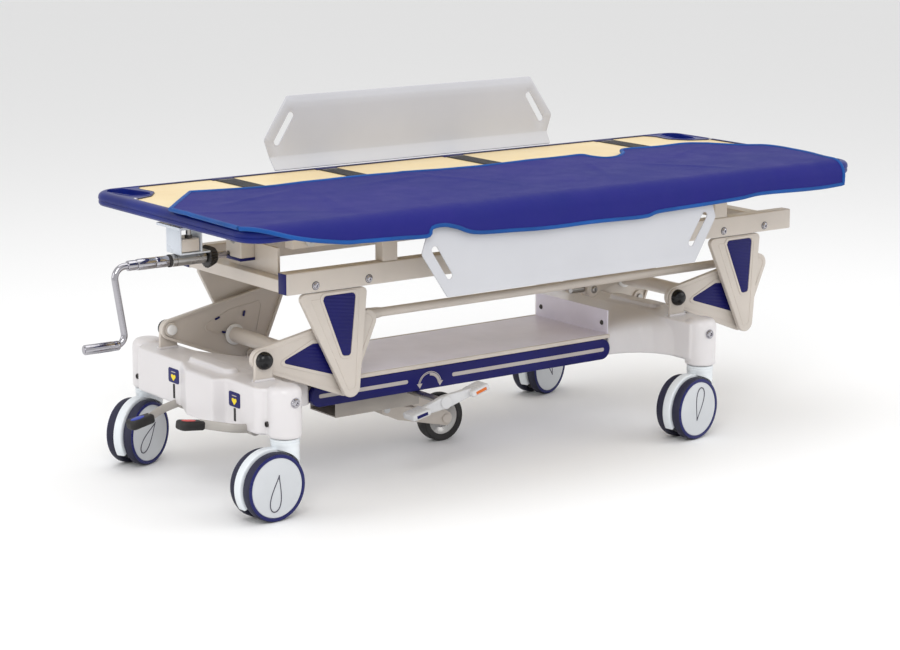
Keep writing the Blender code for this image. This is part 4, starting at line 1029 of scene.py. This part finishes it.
# ---- crank --------------------------------------------------------------------------------------
def crank():
    z = pivot("crank_turn").z
    grip = pivot("crank_grip_spin")
    path = [(-0.56, 0, z), (-0.842, 0, z), (-0.822, grip.y, grip.z), (-0.925, grip.y, grip.z)]
    bend = rounded(path, [0, 0.026, 0.022, 0], 10, closed=False)
    parts = [tube("rod", "chrome", bend, 0.0075, 24)]
    sleeve = [(0, 0), (0.0098, 0), (0.0112, 0.0012), (0.0112, 0.018), (0.0098, 0.0192), (0.0098, 0.0215),
        (0.0118, 0.0225), (0.0125, 0.026), (0.0125, 0.066), (0.0117, 0.068), (0.0125, 0.07),
        (0.0125, 0.102), (0.0112, 0.104), (0, 0.104)]
    parts.append(turned("sleeve", "chrome", sleeve, (-0.807, 0, z), (1, 0, 0), 48))
    parts.append(turned("collar", "rubber", [(0, 0), (0.0132, 0), (0.0142, 0.001), (0.0142, 0.005),
        (0.0132, 0.006), (0, 0.006)], (-0.7062, 0, z), (1, 0, 0), 40))
    teeth = []
    for k in range(48):
        a = 2 * math.pi * k / 48
        reach = 0.0262 if k % 2 else 0.0228
        teeth.append((reach * math.cos(a), reach * math.sin(a)))
    bm = bmesh.new()
    rings = []
    for x, scale in ((-0.6118, 0.9), (-0.61, 1.0), (-0.599, 0.86), (-0.59, 0.72), (-0.5862, 0.52)):
        rings.append([bm.verts.new((x, u * scale, z + v * scale)) for u, v in teeth])
    bands(bm, rings)
    bm.faces.new(rings[0])
    bm.faces.new(rings[-1][::-1])
    parts.append(made("gear", bm, "dark_steel", 20))
    fit("crank_rod", parts, "crank", "crank", slot="chrome")

    sleeve = [(0, -0.924), (0.0095, -0.924), (0.0108, -0.9225), (0.011, -0.92), (0.011, -0.856),
        (0.0102, -0.853), (0.0106, -0.85), (0.0106, -0.842), (0.0094, -0.8395), (0, -0.8395)]
    handle = turned("crank_grip_sleeve", "chrome", sleeve, (0, grip.y, grip.z), (1, 0, 0), 48)
    place(handle, "crank_grip", "crank_grip", slot="chrome")

    tube_shell = turned("tube", "steel", [(0.0115, 0.0), (0.0132, 0.0), (0.014, 0.0008), (0.014, 0.084),
        (0.0132, 0.0848), (0.0115, 0.0848)], (-0.6995, 0, z), (1, 0, 0), 48)
    groove = turned("groove", "dark_steel", [(0.0138, 0.0), (0.0142, 0.0), (0.0142, 0.0012),
        (0.0138, 0.0012)], (-0.689, 0, z), (1, 0, 0), 48)
    fit("crank_bearing_tube", [tube_shell, groove], "upper_frame", "crank_bearing", slot="steel")

    filler = block("filler", "frame", (-0.6872, -0.641), (-0.027, 0.027), (0.5425, 0.572), 0.003)
    stud = drum("stud", "steel", (-0.664, -0.018, 0.595), (-0.664, -0.018, 0.5722), 0.006)
    nut = turned("nut", "dark_steel", [(0, 0), (0.0095, 0), (0.0095, 0.007), (0, 0.007)],
        (-0.664, -0.018, 0.5722), (0, 0, 1), 6)
    fit("crank_hanger_filler", [filler, stud, nut], "upper_frame", slot="frame_paint")
    case = box("gear_case")[0].x
    band = block("band", "navy", (case - 0.0006, -0.515), (-0.0526, 0.0106), (0.5126, 0.5196), 0.0005)
    knob = joined("knob", [drum("washer", "steel", (case + 0.001, -0.022, 0.558),
        (case - 0.0015, -0.022, 0.558), 0.009), bolt((case - 0.0015, -0.022, 0.558), (-1, 0, 0), 0.0062,
        "dark_steel")])
    fit("gear_case_trim", [band, knob], "upper_frame", slot="navy_plastic")


# ---- deck ---------------------------------------------------------------------------------------
DECK_LOW, DECK_HIGH = box("deck_rim")
DECK_CORNER = 0.062


def deck_outline(inset):
    """The deck's plan outline, drawn in by an inset."""
    x0, x1, y0, y1 = DECK_LOW.x + inset, DECK_HIGH.x - inset, DECK_LOW.y + inset, DECK_HIGH.y - inset
    return rounded([(x1, y0), (x1, y1), (x0, y1), (x0, y0)], max(0.004, DECK_CORNER - inset), 12)


def panel_edge():
    """The line where the blue rim ends and the cream panel starts, on the deck's top."""
    half = DECK_HIGH.y - 0.02
    corner = [(0.1, 0.0, 0.012), (0.084, 0.03, 0.022), (0.092, 0.088, 0.03), (0.056, 0.136, 0.03),
        (0.0, 0.158, 0.012)]
    line = []
    for sx, sy in ((-1, -1), (1, -1), (1, 1), (-1, 1)):
        edge_x = DECK_LOW.x if sx < 0 else DECK_HIGH.x
        points = [(edge_x - sx * (0.02 + u), sy * (half - v), radius) for u, v, radius in corner]
        line += points[::-1] if sx * sy > 0 else points
    return rounded([point[:2] for point in line], [point[2] for point in line], 6)


def hand_holes():
    """The four hand holes, each aslant by its corner."""
    holes = []
    for sx, edge in ((-1, DECK_LOW.x), (1, DECK_HIGH.x)):
        for sy in (-1, 1):
            holes.append(oblong((edge - sx * 0.057, sy * 0.262), 0.12, 0.056, 90 - sx * sy * 14, 16))
    return holes


def sweep(name, material, outline, section, z):
    """A section of (outward, up) points carried round a closed plan outline."""
    outline = evenly([(*point, 0.0) for point in outline], 0.009, closed=True)
    count = len(outline)
    bm = bmesh.new()
    rings = []
    for k, here in enumerate(outline):
        way = (outline[(k + 1) % count] - outline[k - 1]).normalized()
        out = Vector((way.y, -way.x, 0))
        rings.append([bm.verts.new(here + out * u + Vector((0, 0, z + v))) for u, v in section])
    bands(bm, rings + rings[:1])
    return made(name, bm, material, 30)


def deck_rim():
    low, high = DECK_LOW.z, DECK_HIGH.z
    tall = high - low
    inner = panel_edge()
    core = slab("core", "rim", deck_outline(0.0145), low + 0.002, high - 0.001,
        holes=[inner, *hand_holes()], edge=0.0)
    nose = [(-0.02, 0.0), (-0.01, 0.0), (-0.0035, 0.0018), (-0.0008, 0.006), (-0.0008, 0.0112),
        (-0.0018, 0.0122), (-0.0018, 0.0134), (-0.0006, 0.0146), (0.0, 0.0185), (-0.0008, 0.0232),
        (-0.0022, 0.0258), (-0.0058, 0.0292), (-0.0105, tall - 0.0008), (-0.015, tall), (-0.02, tall)]
    outer = sweep("edge", "rim", deck_outline(0.0), nose, low)
    parts = [core, outer]
    for hole in hand_holes():
        lip = [(0.0002, tall - 0.004), (0.0002, tall - 0.001), (0.0016, tall + 0.0004),
            (0.0044, tall + 0.0002), (0.0056, tall - 0.0012), (0.0056, tall - 0.004)]
        parts.append(sweep("lip", "rim", hole, lip, low))
    line = sweep("line", "line", inner, [(-0.0006, tall - 0.0035), (0.0006, tall - 0.0035),
        (0.0006, tall - 0.0007), (-0.0006, tall - 0.0007)], low)
    parts.append(line)
    for sx, edge in ((-1, DECK_LOW.x), (1, DECK_HIGH.x)):
        for y in (-0.17, 0.0, 0.17):
            parts.append(bolt((edge - sx * 0.024, y, high - 0.0014), (0, 0, 1), 0.0046, "chrome"))
    fit("deck_rim_moulding", parts, "deck", "deck_rim", slot="rim_blue")


STRAPS = (-0.372, -0.08, 0.301, 0.794)
STRAP_HALF = 0.025
STRAP_END = 0.321


def straps():
    """Flat webbing across the panel, each held by a navy tab at its ends."""
    top = box("deck_panel")[1].z
    for number, x in enumerate(STRAPS):
        half = STRAP_HALF
        bm = bmesh.new()
        rows = []
        for k in range(66):
            y = -STRAP_END + 0.642 * k / 65
            lift = 0.0007 + 0.0004 * noise.noise(Vector((x * 5, y * 6, number)))
            rows.append([bm.verts.new((x + u + 0.0012 * noise.noise(Vector((y * 4, number, 2))), y, top
                + v + lift)) for u, v in ((-half, 0), (half, 0), (half, 0.0013), (half - 0.0015, 0.0015),
                (-half + 0.0015, 0.0015), (-half, 0.0013))])
        bands(bm, rows)
        bm.faces.new(rows[0])
        bm.faces.new(rows[-1][::-1])
        band = made("band", bm, "webbing")
        tabs = [block("tab", "navy", (x - half - 0.004, x + half + 0.004),
            (sy * STRAP_END - 0.01, sy * STRAP_END + 0.01), (top - 0.001, top + 0.003), 0.0012)
            for sy in (-1, 1)]
        stitch = [block("stitch", "inlay", (x - half + 0.004, x + half - 0.004),
            (sy * 0.3 - 0.0005, sy * 0.3 + 0.0005), (top + 0.0014, top + 0.0026), 0.0002)
            for sy in (-1, 1)]
        fit(f"strap_{number + 1}", [band, *tabs, *stitch], "deck", slot="black_rubber")


# ---- mat ----------------------------------------------------------------------------------------
MAT_TOP = 0.642
MAT_EDGE = -0.331
MAT_BEND = 0.035
MAT_THICK = 0.003
# Each crease's middle, direction in radians and depth.
CREASES = ((-0.49, -0.02, 0.35, 1.0), (-0.36, -0.1, 1.25, 0.9), (0.05, -0.05, 1.9, 0.8),
    (0.41, -0.12, 1.1, 1.0), (0.78, -0.02, 0.5, 0.9), (-0.1, 0.02, 0.15, 0.7), (0.62, -0.2, 2.2, 0.8),
    (-0.6, -0.18, 2.6, 0.9), (0.22, -0.25, 0.9, 0.6))
HEM = ((-0.6246, 0.6194), (-0.5001, 0.596), (-0.434, 0.592), (-0.345, 0.589), (-0.29, 0.586),
    (-0.268, 0.588), (-0.262, 0.603), (-0.23, 0.606), (-0.195, 0.598), (-0.142, 0.581), (-0.03, 0.575),
    (0.08, 0.571), (0.2, 0.572), (0.34, 0.569), (0.39, 0.577), (0.52, 0.58), (0.64, 0.584), (0.72, 0.589),
    (0.9, 0.585), (0.986, 0.588))
FAR_EDGE = ((-0.565, 0.14), (-0.398, 0.103), (-0.291, 0.109), (-0.16, 0.112), (-0.012, 0.106),
    (0.1, 0.092), (0.21, 0.085), (0.34, 0.084), (0.459, 0.086), (0.528, 0.09), (0.534, 0.056),
    (0.546, 0.016), (0.587, 0.018), (0.64, 0.058), (0.683, 0.106), (0.786, 0.09), (0.88, 0.098),
    (0.93, 0.055), (0.976, -0.012), (1.03, -0.057), (1.032, -0.169), (0.994, -0.31))


def hem_depth(z):
    """How far down the cloth a hem at a height lies, from the start of the bend."""
    bend = MAT_BEND * math.pi / 2
    return bend + (MAT_TOP - MAT_BEND - z)


def mat_place(x, d):
    """Where a point of the flat cloth lies; d is its distance past the start of the bend."""
    start = MAT_EDGE
    wave = noise.noise(Vector((x * 5.5, d * 6.0, 3.1))) + 0.5 * noise.noise(Vector((x * 13.0, d * 12.0,
        7.7)))
    if d <= 0:
        crease = 0.0
        for cx, cy, turn, deep in CREASES:
            u = (x - cx) * math.cos(turn) + (start - d - cy) * math.sin(turn)
            v = -(x - cx) * math.sin(turn) + (start - d - cy) * math.cos(turn)
            crease += deep * math.exp(-(v / 0.012) ** 2 - (u / 0.13) ** 2)
        lift = max(0.0, 0.0009 + 0.0013 * wave + 0.003 * crease)
        return Vector((x, start - d, MAT_TOP + lift))
    bend = MAT_BEND * math.pi / 2
    if d < bend:
        a = d / MAT_BEND
        here = Vector((x, start - MAT_BEND * math.sin(a), MAT_TOP - MAT_BEND * (1 - math.cos(a))))
        out = Vector((0, -math.sin(a), math.cos(a)))
        return here + out * (0.0006 * wave + 0.0004)
    fall = d - bend
    flare = 0.0012 * math.sin(x * 31 + 1.2) * min(1.0, fall / 0.02) + 0.001 * wave * min(1.0, fall / 0.02)
    return Vector((x, start - MAT_BEND - max(-0.0006, flare), MAT_TOP - MAT_BEND - fall))


def mat():
    near = [(-0.727, 0.002)] + [(x, hem_depth(z)) for x, z in HEM]
    far = [(x, MAT_EDGE - y) for x, y in FAR_EDGE]
    left = (-0.717, MAT_EDGE + 0.034)
    outline = cut_shape([near, [near[-1], *far[::-1]], [far[0], left], [left, near[0]]], 0.0065)
    x0, x1 = min(p[0] for p in outline), max(p[0] for p in outline)
    d0, d1 = min(p[1] for p in outline), max(p[1] for p in outline)
    step = 0.0085
    grid = []
    for row in range(1, int((d1 - d0) / step)):
        d = d0 + row * step
        for column in range(1, int((x1 - x0) / step)):
            here = (x0 + (column + 0.5 * (row % 2)) * step, d)
            if inside(here, outline) and clear_of(here, outline, step * 0.55):
                grid.append(here)
    flat, faces = filled(outline, (), grid)
    bm = bmesh.new()
    verts = [bm.verts.new(mat_place(u, v)) for u, v in flat]
    for face in faces:
        bm.faces.new([verts[k] for k in face])
    cloth = made("mat_sheet", bm, "mat", 60)
    if sum(poly.normal.z for poly in cloth.data.polygons) < 0:
        cloth.data.flip_normals()
    thick = cloth.modifiers.new("thickness", "SOLIDIFY")
    thick.thickness = MAT_THICK
    thick.offset = 0.0
    settle(cloth, 60)
    line = [mat_place(*point) for point in outline]
    border = tube("mat_binding", "binding", line, 0.0048, 12, closed=True)
    seam = tube("mat_seam", "binding", [mat_place(*point) for point in shrunk(outline, 0.0105)], 0.0014,
        6, closed=True, flat=0.6)
    for point in (cloth, border, seam):
        point.matrix_world = Matrix.Translation(BASE)
    for piece in (cloth, border, seam):
        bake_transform(piece)
    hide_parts("mat")


def cut_shape(runs, step):
    """A closed outline of soft curves that meet in sharp corners."""
    loop = []
    for run in runs:
        loop += smooth_line([(*point, 0.0) for point in run], step)[:-1]
    return [tuple(point.xy) for point in loop]


def shrunk(outline, distance):
    """An outline moved inwards and respaced."""
    moved = grown(outline, -distance)
    return [tuple(point.xy) for point in evenly([(*p, 0.0) for p in moved], 0.01, closed=True)]


# ---- guards -------------------------------------------------------------------------------------
GUARD_SPAN = ((0.421, 0.0), (0.424, 0.037), (0.4395, 0.082), (0.371, 0.185))

GUARD_FIT = {"near": (-0.012, 0.976, 0.006, 0.002), "far": (0.0, 1.0, 0.02, 0.0075)}


GUARD_FOLD = 0.037
GUARD_LIP = 0.166
GUARD_TALL = 0.185


def guard(side, sign):
    hinge = pivot(f"guard_{side}_fold")
    shift, share, tuck, rise = GUARD_FIT[side]
    middle = (box(f"side_guard_{side}")[0].x + box(f"side_guard_{side}")[1].x) / 2 + shift
    up = -1 if side == "near" else 1
    half = [(w * share, h) for w, h in GUARD_SPAN]
    outline = rounded([(w, h) for w, h in half] + [(-w, h) for w, h in half[::-1]],
        [0.003, 0.008, 0.012, 0.008, 0.008, 0.012, 0.008, 0.003], 6)
    slots = [oblong((way * 0.383 * share, 0.106), 0.094, 0.0195, 90 + way * 32.7, 10) for way in (-1, 1)]
    grid = []
    for height in (0.004, 0.02, 0.036, 0.04, 0.06, 0.09, 0.12, 0.15, 0.166, 0.172, 0.18):
        for k in range(-17, 18):
            here = (k * 0.0235, height)
            if inside(here, outline) and all(clear_of(here, loop, 0.006) for loop in (outline, *slots)):
                grid.append(here)
    flat, faces = filled(outline, slots, grid)
    bm = bmesh.new()

    def bent(w, h):
        """A point of the flat sheet, with its lower strip and its top edge bent out of plane."""
        low = 1 - min(1.0, h / GUARD_FOLD)
        out = -tuck * low + 0.006 * max(0.0, (h - GUARD_LIP) / 0.022)
        return (middle + w, hinge.y + sign * out, hinge.z
            + up * (h + rise * low + 0.004 * (1 - h / GUARD_TALL)))

    verts = [bm.verts.new(bent(w, h)) for w, h in flat]
    for face in faces:
        bm.faces.new([verts[k] for k in face])
    sheet = made("sheet", bm, "guard", 30)
    thick = sheet.modifiers.new("thickness", "SOLIDIFY")
    thick.thickness = 0.0028
    thick.offset = 0.0
    bevel(sheet, 0.0008, 2, 50)
    settle(sheet, 30)
    parts = [sheet]
    barrel_half = half[0][0] - 0.006
    parts.append(drum("barrel", "guard", (middle - barrel_half, hinge.y, hinge.z),
        (middle + barrel_half, hinge.y, hinge.z), 0.0045, 0.0006, 20))
    for slot_line in slots:
        parts.append(tube("slot_lip", "guard", [bent(u, v) for u, v in slot_line], 0.0019, 8,
            closed=True))
    fit(f"side_guard_sheet_{side}", parts, f"guard_{side}", f"side_guard_{side}", slot="guard_paint")


# ---- fifth wheel and pedals ---------------------------------------------------------------------
def fifth_wheel():
    pivot_at, axle = pivot("steer_arm_lift"), pivot("steer_wheel_spin")
    y = axle.y
    r = 0.058
    tyre = turned("tyre", "rubber", [(0.0415, -0.015), (0.054, -0.0165), (0.0568, -0.015), (r, -0.01),
        (r, 0.01), (0.0568, 0.015), (0.054, 0.0165), (0.0415, 0.015)], (axle.x, y, axle.z), (0, 1, 0), 96)
    fit("steer_tyre_tread", [tyre], "steer_wheel", "steer_tyre", slot="tyre")
    hub = turned("hub", "steel", [(0, -0.017), (0.011, -0.017), (0.012, -0.012), (0.026, -0.008),
        (0.033, -0.011), (0.04, -0.0135), (0.0414, -0.0135), (0.0414, 0.0135), (0.04, 0.0135),
        (0.033, 0.011), (0.026, 0.008), (0.012, 0.012), (0.011, 0.017), (0, 0.017)], (axle.x, y, axle.z),
        (0, 1, 0), 64)
    fit("steer_wheel_rim", [hub], "steer_wheel", "steer_wheel_hub", slot="steel")
    parts = []
    for way in (-1, 1):
        plate = hull([(axle.x, axle.z, 0.017), (pivot_at.x + 0.01, pivot_at.z, 0.015)])
        parts.append(slab("plate", "frame", plate, *sorted((y + way * 0.0225, y + way * 0.027)), "Y",
            0.0012))
        cheek = hull([(axle.x, axle.z, 0.017), (pivot_at.x + 0.052, pivot_at.z - 0.088, 0.013),
            (pivot_at.x + 0.014, pivot_at.z - 0.07, 0.013)])
        parts.append(slab("cheek", "frame", cheek, *sorted((y + way * 0.0235, y + way * 0.0278)), "Y",
            0.0012))
        parts.append(drum("knob", "lever", (pivot_at.x + 0.014, y + way * 0.0275, pivot_at.z - 0.07),
            (pivot_at.x + 0.014, y + way * 0.032, pivot_at.z - 0.07), 0.0085))
        parts.append(turned("axle_cap", "frame", [(0, 0), (0.0125, 0), (0.0125, 0.0028), (0.0105, 0.005),
            (0, 0.0056)], (axle.x, y + way * 0.0272, axle.z), (0, way, 0), 40))
    parts.append(pin("axle", "steel", axle.x, (y - 0.0224, y + 0.0224), axle.z, 0.0055))
    parts.append(drum("bush", "rubber", (pivot_at.x + 0.004, y - 0.0224, pivot_at.z),
        (pivot_at.x + 0.004, y + 0.0224, pivot_at.z), 0.013, 0.001))
    return parts


def steer_arm():
    low, high = box("steer_arm")
    parts = fifth_wheel()
    at = pivot("steer_arm_lift")
    parts.append(pin("pivot", "chrome", at.x, (low.y, high.y), at.z, 0.008))
    fit("steer_fork", parts, "steer_arm", "steer_arm", slot="frame_paint")


def steer_lever():
    far = box("steer_lever")[1].y
    y = (-0.252, -0.238)
    ends = ((-0.195, 0.163), (-0.07, 0.188))
    at = pivot("steer_lever_press")
    bone = hull([(*ends[0], 0.0095), (at.x, at.z, 0.0155)])
    other = hull([(*ends[1], 0.0095), (at.x, at.z, 0.0155)])
    parts = [slab("bone", "lever", bone, *y, "Y", 0.0025), slab("bone", "lever", other, *y, "Y", 0.0025)]
    parts.append(turned("boss", "lever", [(0, 0), (0.015, 0), (0.015, 0.0024), (0.0128, 0.0042),
        (0, 0.0046)], (at.x, y[0], at.z), (0, -1, 0), 40))
    parts.append(pin("shaft", "steel", at.x, (y[1] - 0.001, far), at.z, 0.0078))
    for (x, z), way, mark, tilt in ((ends[0], -1, "navy", -12), (ends[1], 1, "orange", -16)):
        turn = Matrix.Translation((x + way * 0.02, -0.245, z
            + way * 0.0045)) @ Matrix.Rotation(math.radians(tilt), 4, "Y")
        parts.append(block("paddle", "lever", (-0.025, 0.025), (-0.022, 0.022), (-0.008, 0.008), 0.005, 4,
            matrix=turn))
        inset = block("mark", mark, (-0.015, 0.015), (-0.0226, -0.018), (-0.0036, 0.0036), 0.0006,
            matrix=turn)
        grooves = [block("groove", "lever", (u - 0.0022, u + 0.0022), (-0.018, 0.018), (0.007, 0.0088),
            0.0008, matrix=turn) for u in (-0.012, -0.004, 0.004, 0.012)]
        parts += [inset, *grooves]
    fit("steer_lever_pedal", parts, "steer_lever", "steer_lever", slot="lever_grey")


PEDALS = {"on": ((0.085, 0.06), 10.4, 0.118, "blue"), "off": ((-0.215, -0.16), -7.6, 0.119, "red")}


def pedal(name):
    """An upright arm from the brake shaft, with a rubber pad and a coloured oval on its end."""
    (root_y, tip_y), slope, reach, mark = PEDALS[name]
    at = pivot(f"brake_{name}_press")
    down = math.tan(math.radians(slope))
    tip = Vector((at.x - reach, tip_y, at.z - reach * down))
    middle = Vector((at.x - reach * 0.45, root_y + (tip_y - root_y) * 0.12, at.z - reach * 0.45 * down))
    line = smooth_line([Vector((at.x - 0.004, root_y, at.z)), middle, tip
        + Vector((0.018, 0, 0.018 * down))], 0.004)
    arm = tube("arm", "arm", line, 0.01, 20, flat=0.38, up=(0, 1, 0))
    boss = pin("boss", "arm", at.x, (root_y - 0.012, root_y + 0.012), at.z, 0.015, 0.0015)
    fit(f"brake_{name}_lever", [arm, boss], f"brake_{name}", f"brake_{name}_arm", slot="arm_grey")

    turn = Matrix.Translation(tip + Vector((-0.004, 0, 0))) @ Matrix.Rotation(-math.radians(slope), 4,
        "Y")
    outline = rounded([(-0.031, -0.02), (0.031, -0.014), (0.031, 0.014), (-0.031, 0.02)],
        [0.012, 0.008, 0.008, 0.012], 8)
    pad = slab("pad", "rubber", outline, -0.012, 0.008, edge=0.0055, segments=4)
    parts = [pad]
    oval = []
    for k in range(40):
        a = 2 * math.pi * k / 40
        oval.append((-0.006 + 0.017 * math.cos(a), 0.0088 * math.sin(a)))
    parts.append(slab("mark", mark, oval, 0.006, 0.0086, edge=0.0005))
    whole = joined(f"brake_{name}_rubber", parts)
    place(whole, f"brake_{name}", f"brake_{name}_pad", slot="black_rubber", matrix=turn)


# ---- kept CAD nodes -----------------------------------------------------------------------------
KEPT = {
    # The chassis, linkage channel and deck carriage take the beige darkened as painted shade.
    "chassis": "frame_painted_shade", "shelf": "shelf", "rail_near": "frame", "rail_far": "frame",
    "deck_track_near": "frame", "deck_track_far": "frame", "cross_beam_left": "frame",
    "cross_beam_right": "frame", "gear_case": "frame", "crank_hanger": "hanger",
    "linkage_channel": "frame_painted_shade", "deck_panel": "panel", "deck_carriage": "frame_painted_shade",
    "brake_shaft": "steel",
}


def kept():
    for name, material in KEPT.items():
        obj = NODES[name]
        for slot_entry in obj.material_slots:
            slot_entry.material = M[material]
        if not obj.material_slots:
            obj.data.materials.append(M[material])
        weld = obj.modifiers.new("weld", "WELD")
        weld.merge_threshold = 0.00001
        flat = obj.modifiers.new("planes", "DECIMATE")
        flat.decimate_type = "DISSOLVE"
        flat.angle_limit = math.radians(0.6)
        bevel(obj, 0.0009, 2, 40).use_clamp_overlap = True


# ---- studio -------------------------------------------------------------------------------------
def plain(name, colour, roughness):
    paper = bpy.data.materials.new(name)
    paper.use_nodes = True
    shader = paper.node_tree.nodes["Principled BSDF"]
    shader.inputs["Base Color"].default_value = (*colour, 1.0)
    shader.inputs["Roughness"].default_value = roughness
    return paper


def light(name, at, towards, size, power, colour=(1.0, 1.0, 1.0)):
    lamp = bpy.data.lights.new(name, "AREA")
    lamp.shape = "RECTANGLE"
    lamp.size, lamp.size_y = size
    lamp.energy = power
    lamp.color = colour
    obj = bpy.data.objects.new(name, lamp)
    obj.location = at
    obj.rotation_euler = (Vector(towards) - Vector(at)).to_track_quat("-Z", "Y").to_euler()
    bpy.context.scene.collection.objects.link(obj)


LENS = 98.03
CAMERA_AT = (-3.4069, -4.5713, 1.4935)
CAMERA_PAN, CAMERA_DIP, CAMERA_ROLL = -36.572, 11.965, 0.149


def studio():
    bm = bmesh.new()
    bmesh.ops.create_grid(bm, x_segments=1, y_segments=1, size=14.0)
    mesh = bpy.data.meshes.new("floor")
    bm.to_mesh(mesh)
    bm.free()
    floor = bpy.data.objects.new("floor", mesh)
    bpy.context.scene.collection.objects.link(floor)
    mesh.materials.append(plain("floor_paper", (0.93, 0.93, 0.93), 0.75))

    world = bpy.data.worlds.new("studio")
    bpy.context.scene.world = world
    world.use_nodes = True
    world.node_tree.nodes["Background"].inputs["Color"].default_value = (1.0, 1.0, 1.0, 1.0)
    world.node_tree.nodes["Background"].inputs["Strength"].default_value = 0.8

    light("key", (-2.6, -3.2, 3.6), (0, 0, 0.4), (2.4, 2.4), 78)
    light("fill", (3.4, -2.6, 2.4), (0, 0, 0.4), (2.6, 2.6), 30)
    light("top", (0.2, 0.4, 3.8), (0, 0, 0.3), (3.4, 2.6), 38)
    light("front", (-4.6, 1.2, 1.8), (0, 0, 0.4), (2.2, 2.2), 26)

    lens = bpy.data.cameras.new("camera")
    lens.lens = LENS
    lens.sensor_width = 36.0
    lens.clip_start = 0.05
    lens.clip_end = 60.0
    camera = bpy.data.objects.new("camera", lens)
    turn = (Matrix.Rotation(math.radians(CAMERA_PAN), 4, "Z")
        @ Matrix.Rotation(math.radians(90 - CAMERA_DIP), 4, "X")
        @ Matrix.Rotation(math.radians(CAMERA_ROLL), 4, "Z"))
    camera.matrix_world = Matrix.Translation(CAMERA_AT) @ turn
    bpy.context.scene.collection.objects.link(camera)
    bpy.context.scene.camera = camera
    bpy.context.scene.view_settings.view_transform = "Standard"


# ---- assembly -----------------------------------------------------------------------------------
studio()
kept()
for corner in CORNERS:
    castor(corner)
for end, sign in (("left", -1), ("right", 1)):
    end_cover(end, sign)
    cross_tube(end)
    for side, way in SIDES:
        rocker(end, side, way)
        hanger(end, side, way)
        rocker_bracket(end, side, way)
labels()
strips()
shelf_screws()
sync_rod()
frame_trims()
place(lift_drive(), "upper_frame", slot="frame_paint")
crank()
deck_rim()
straps()
mat()
for side, way in SIDES:
    guard(side, way)
steer_arm()
steer_lever()
for name in PEDALS:
    pedal(name)
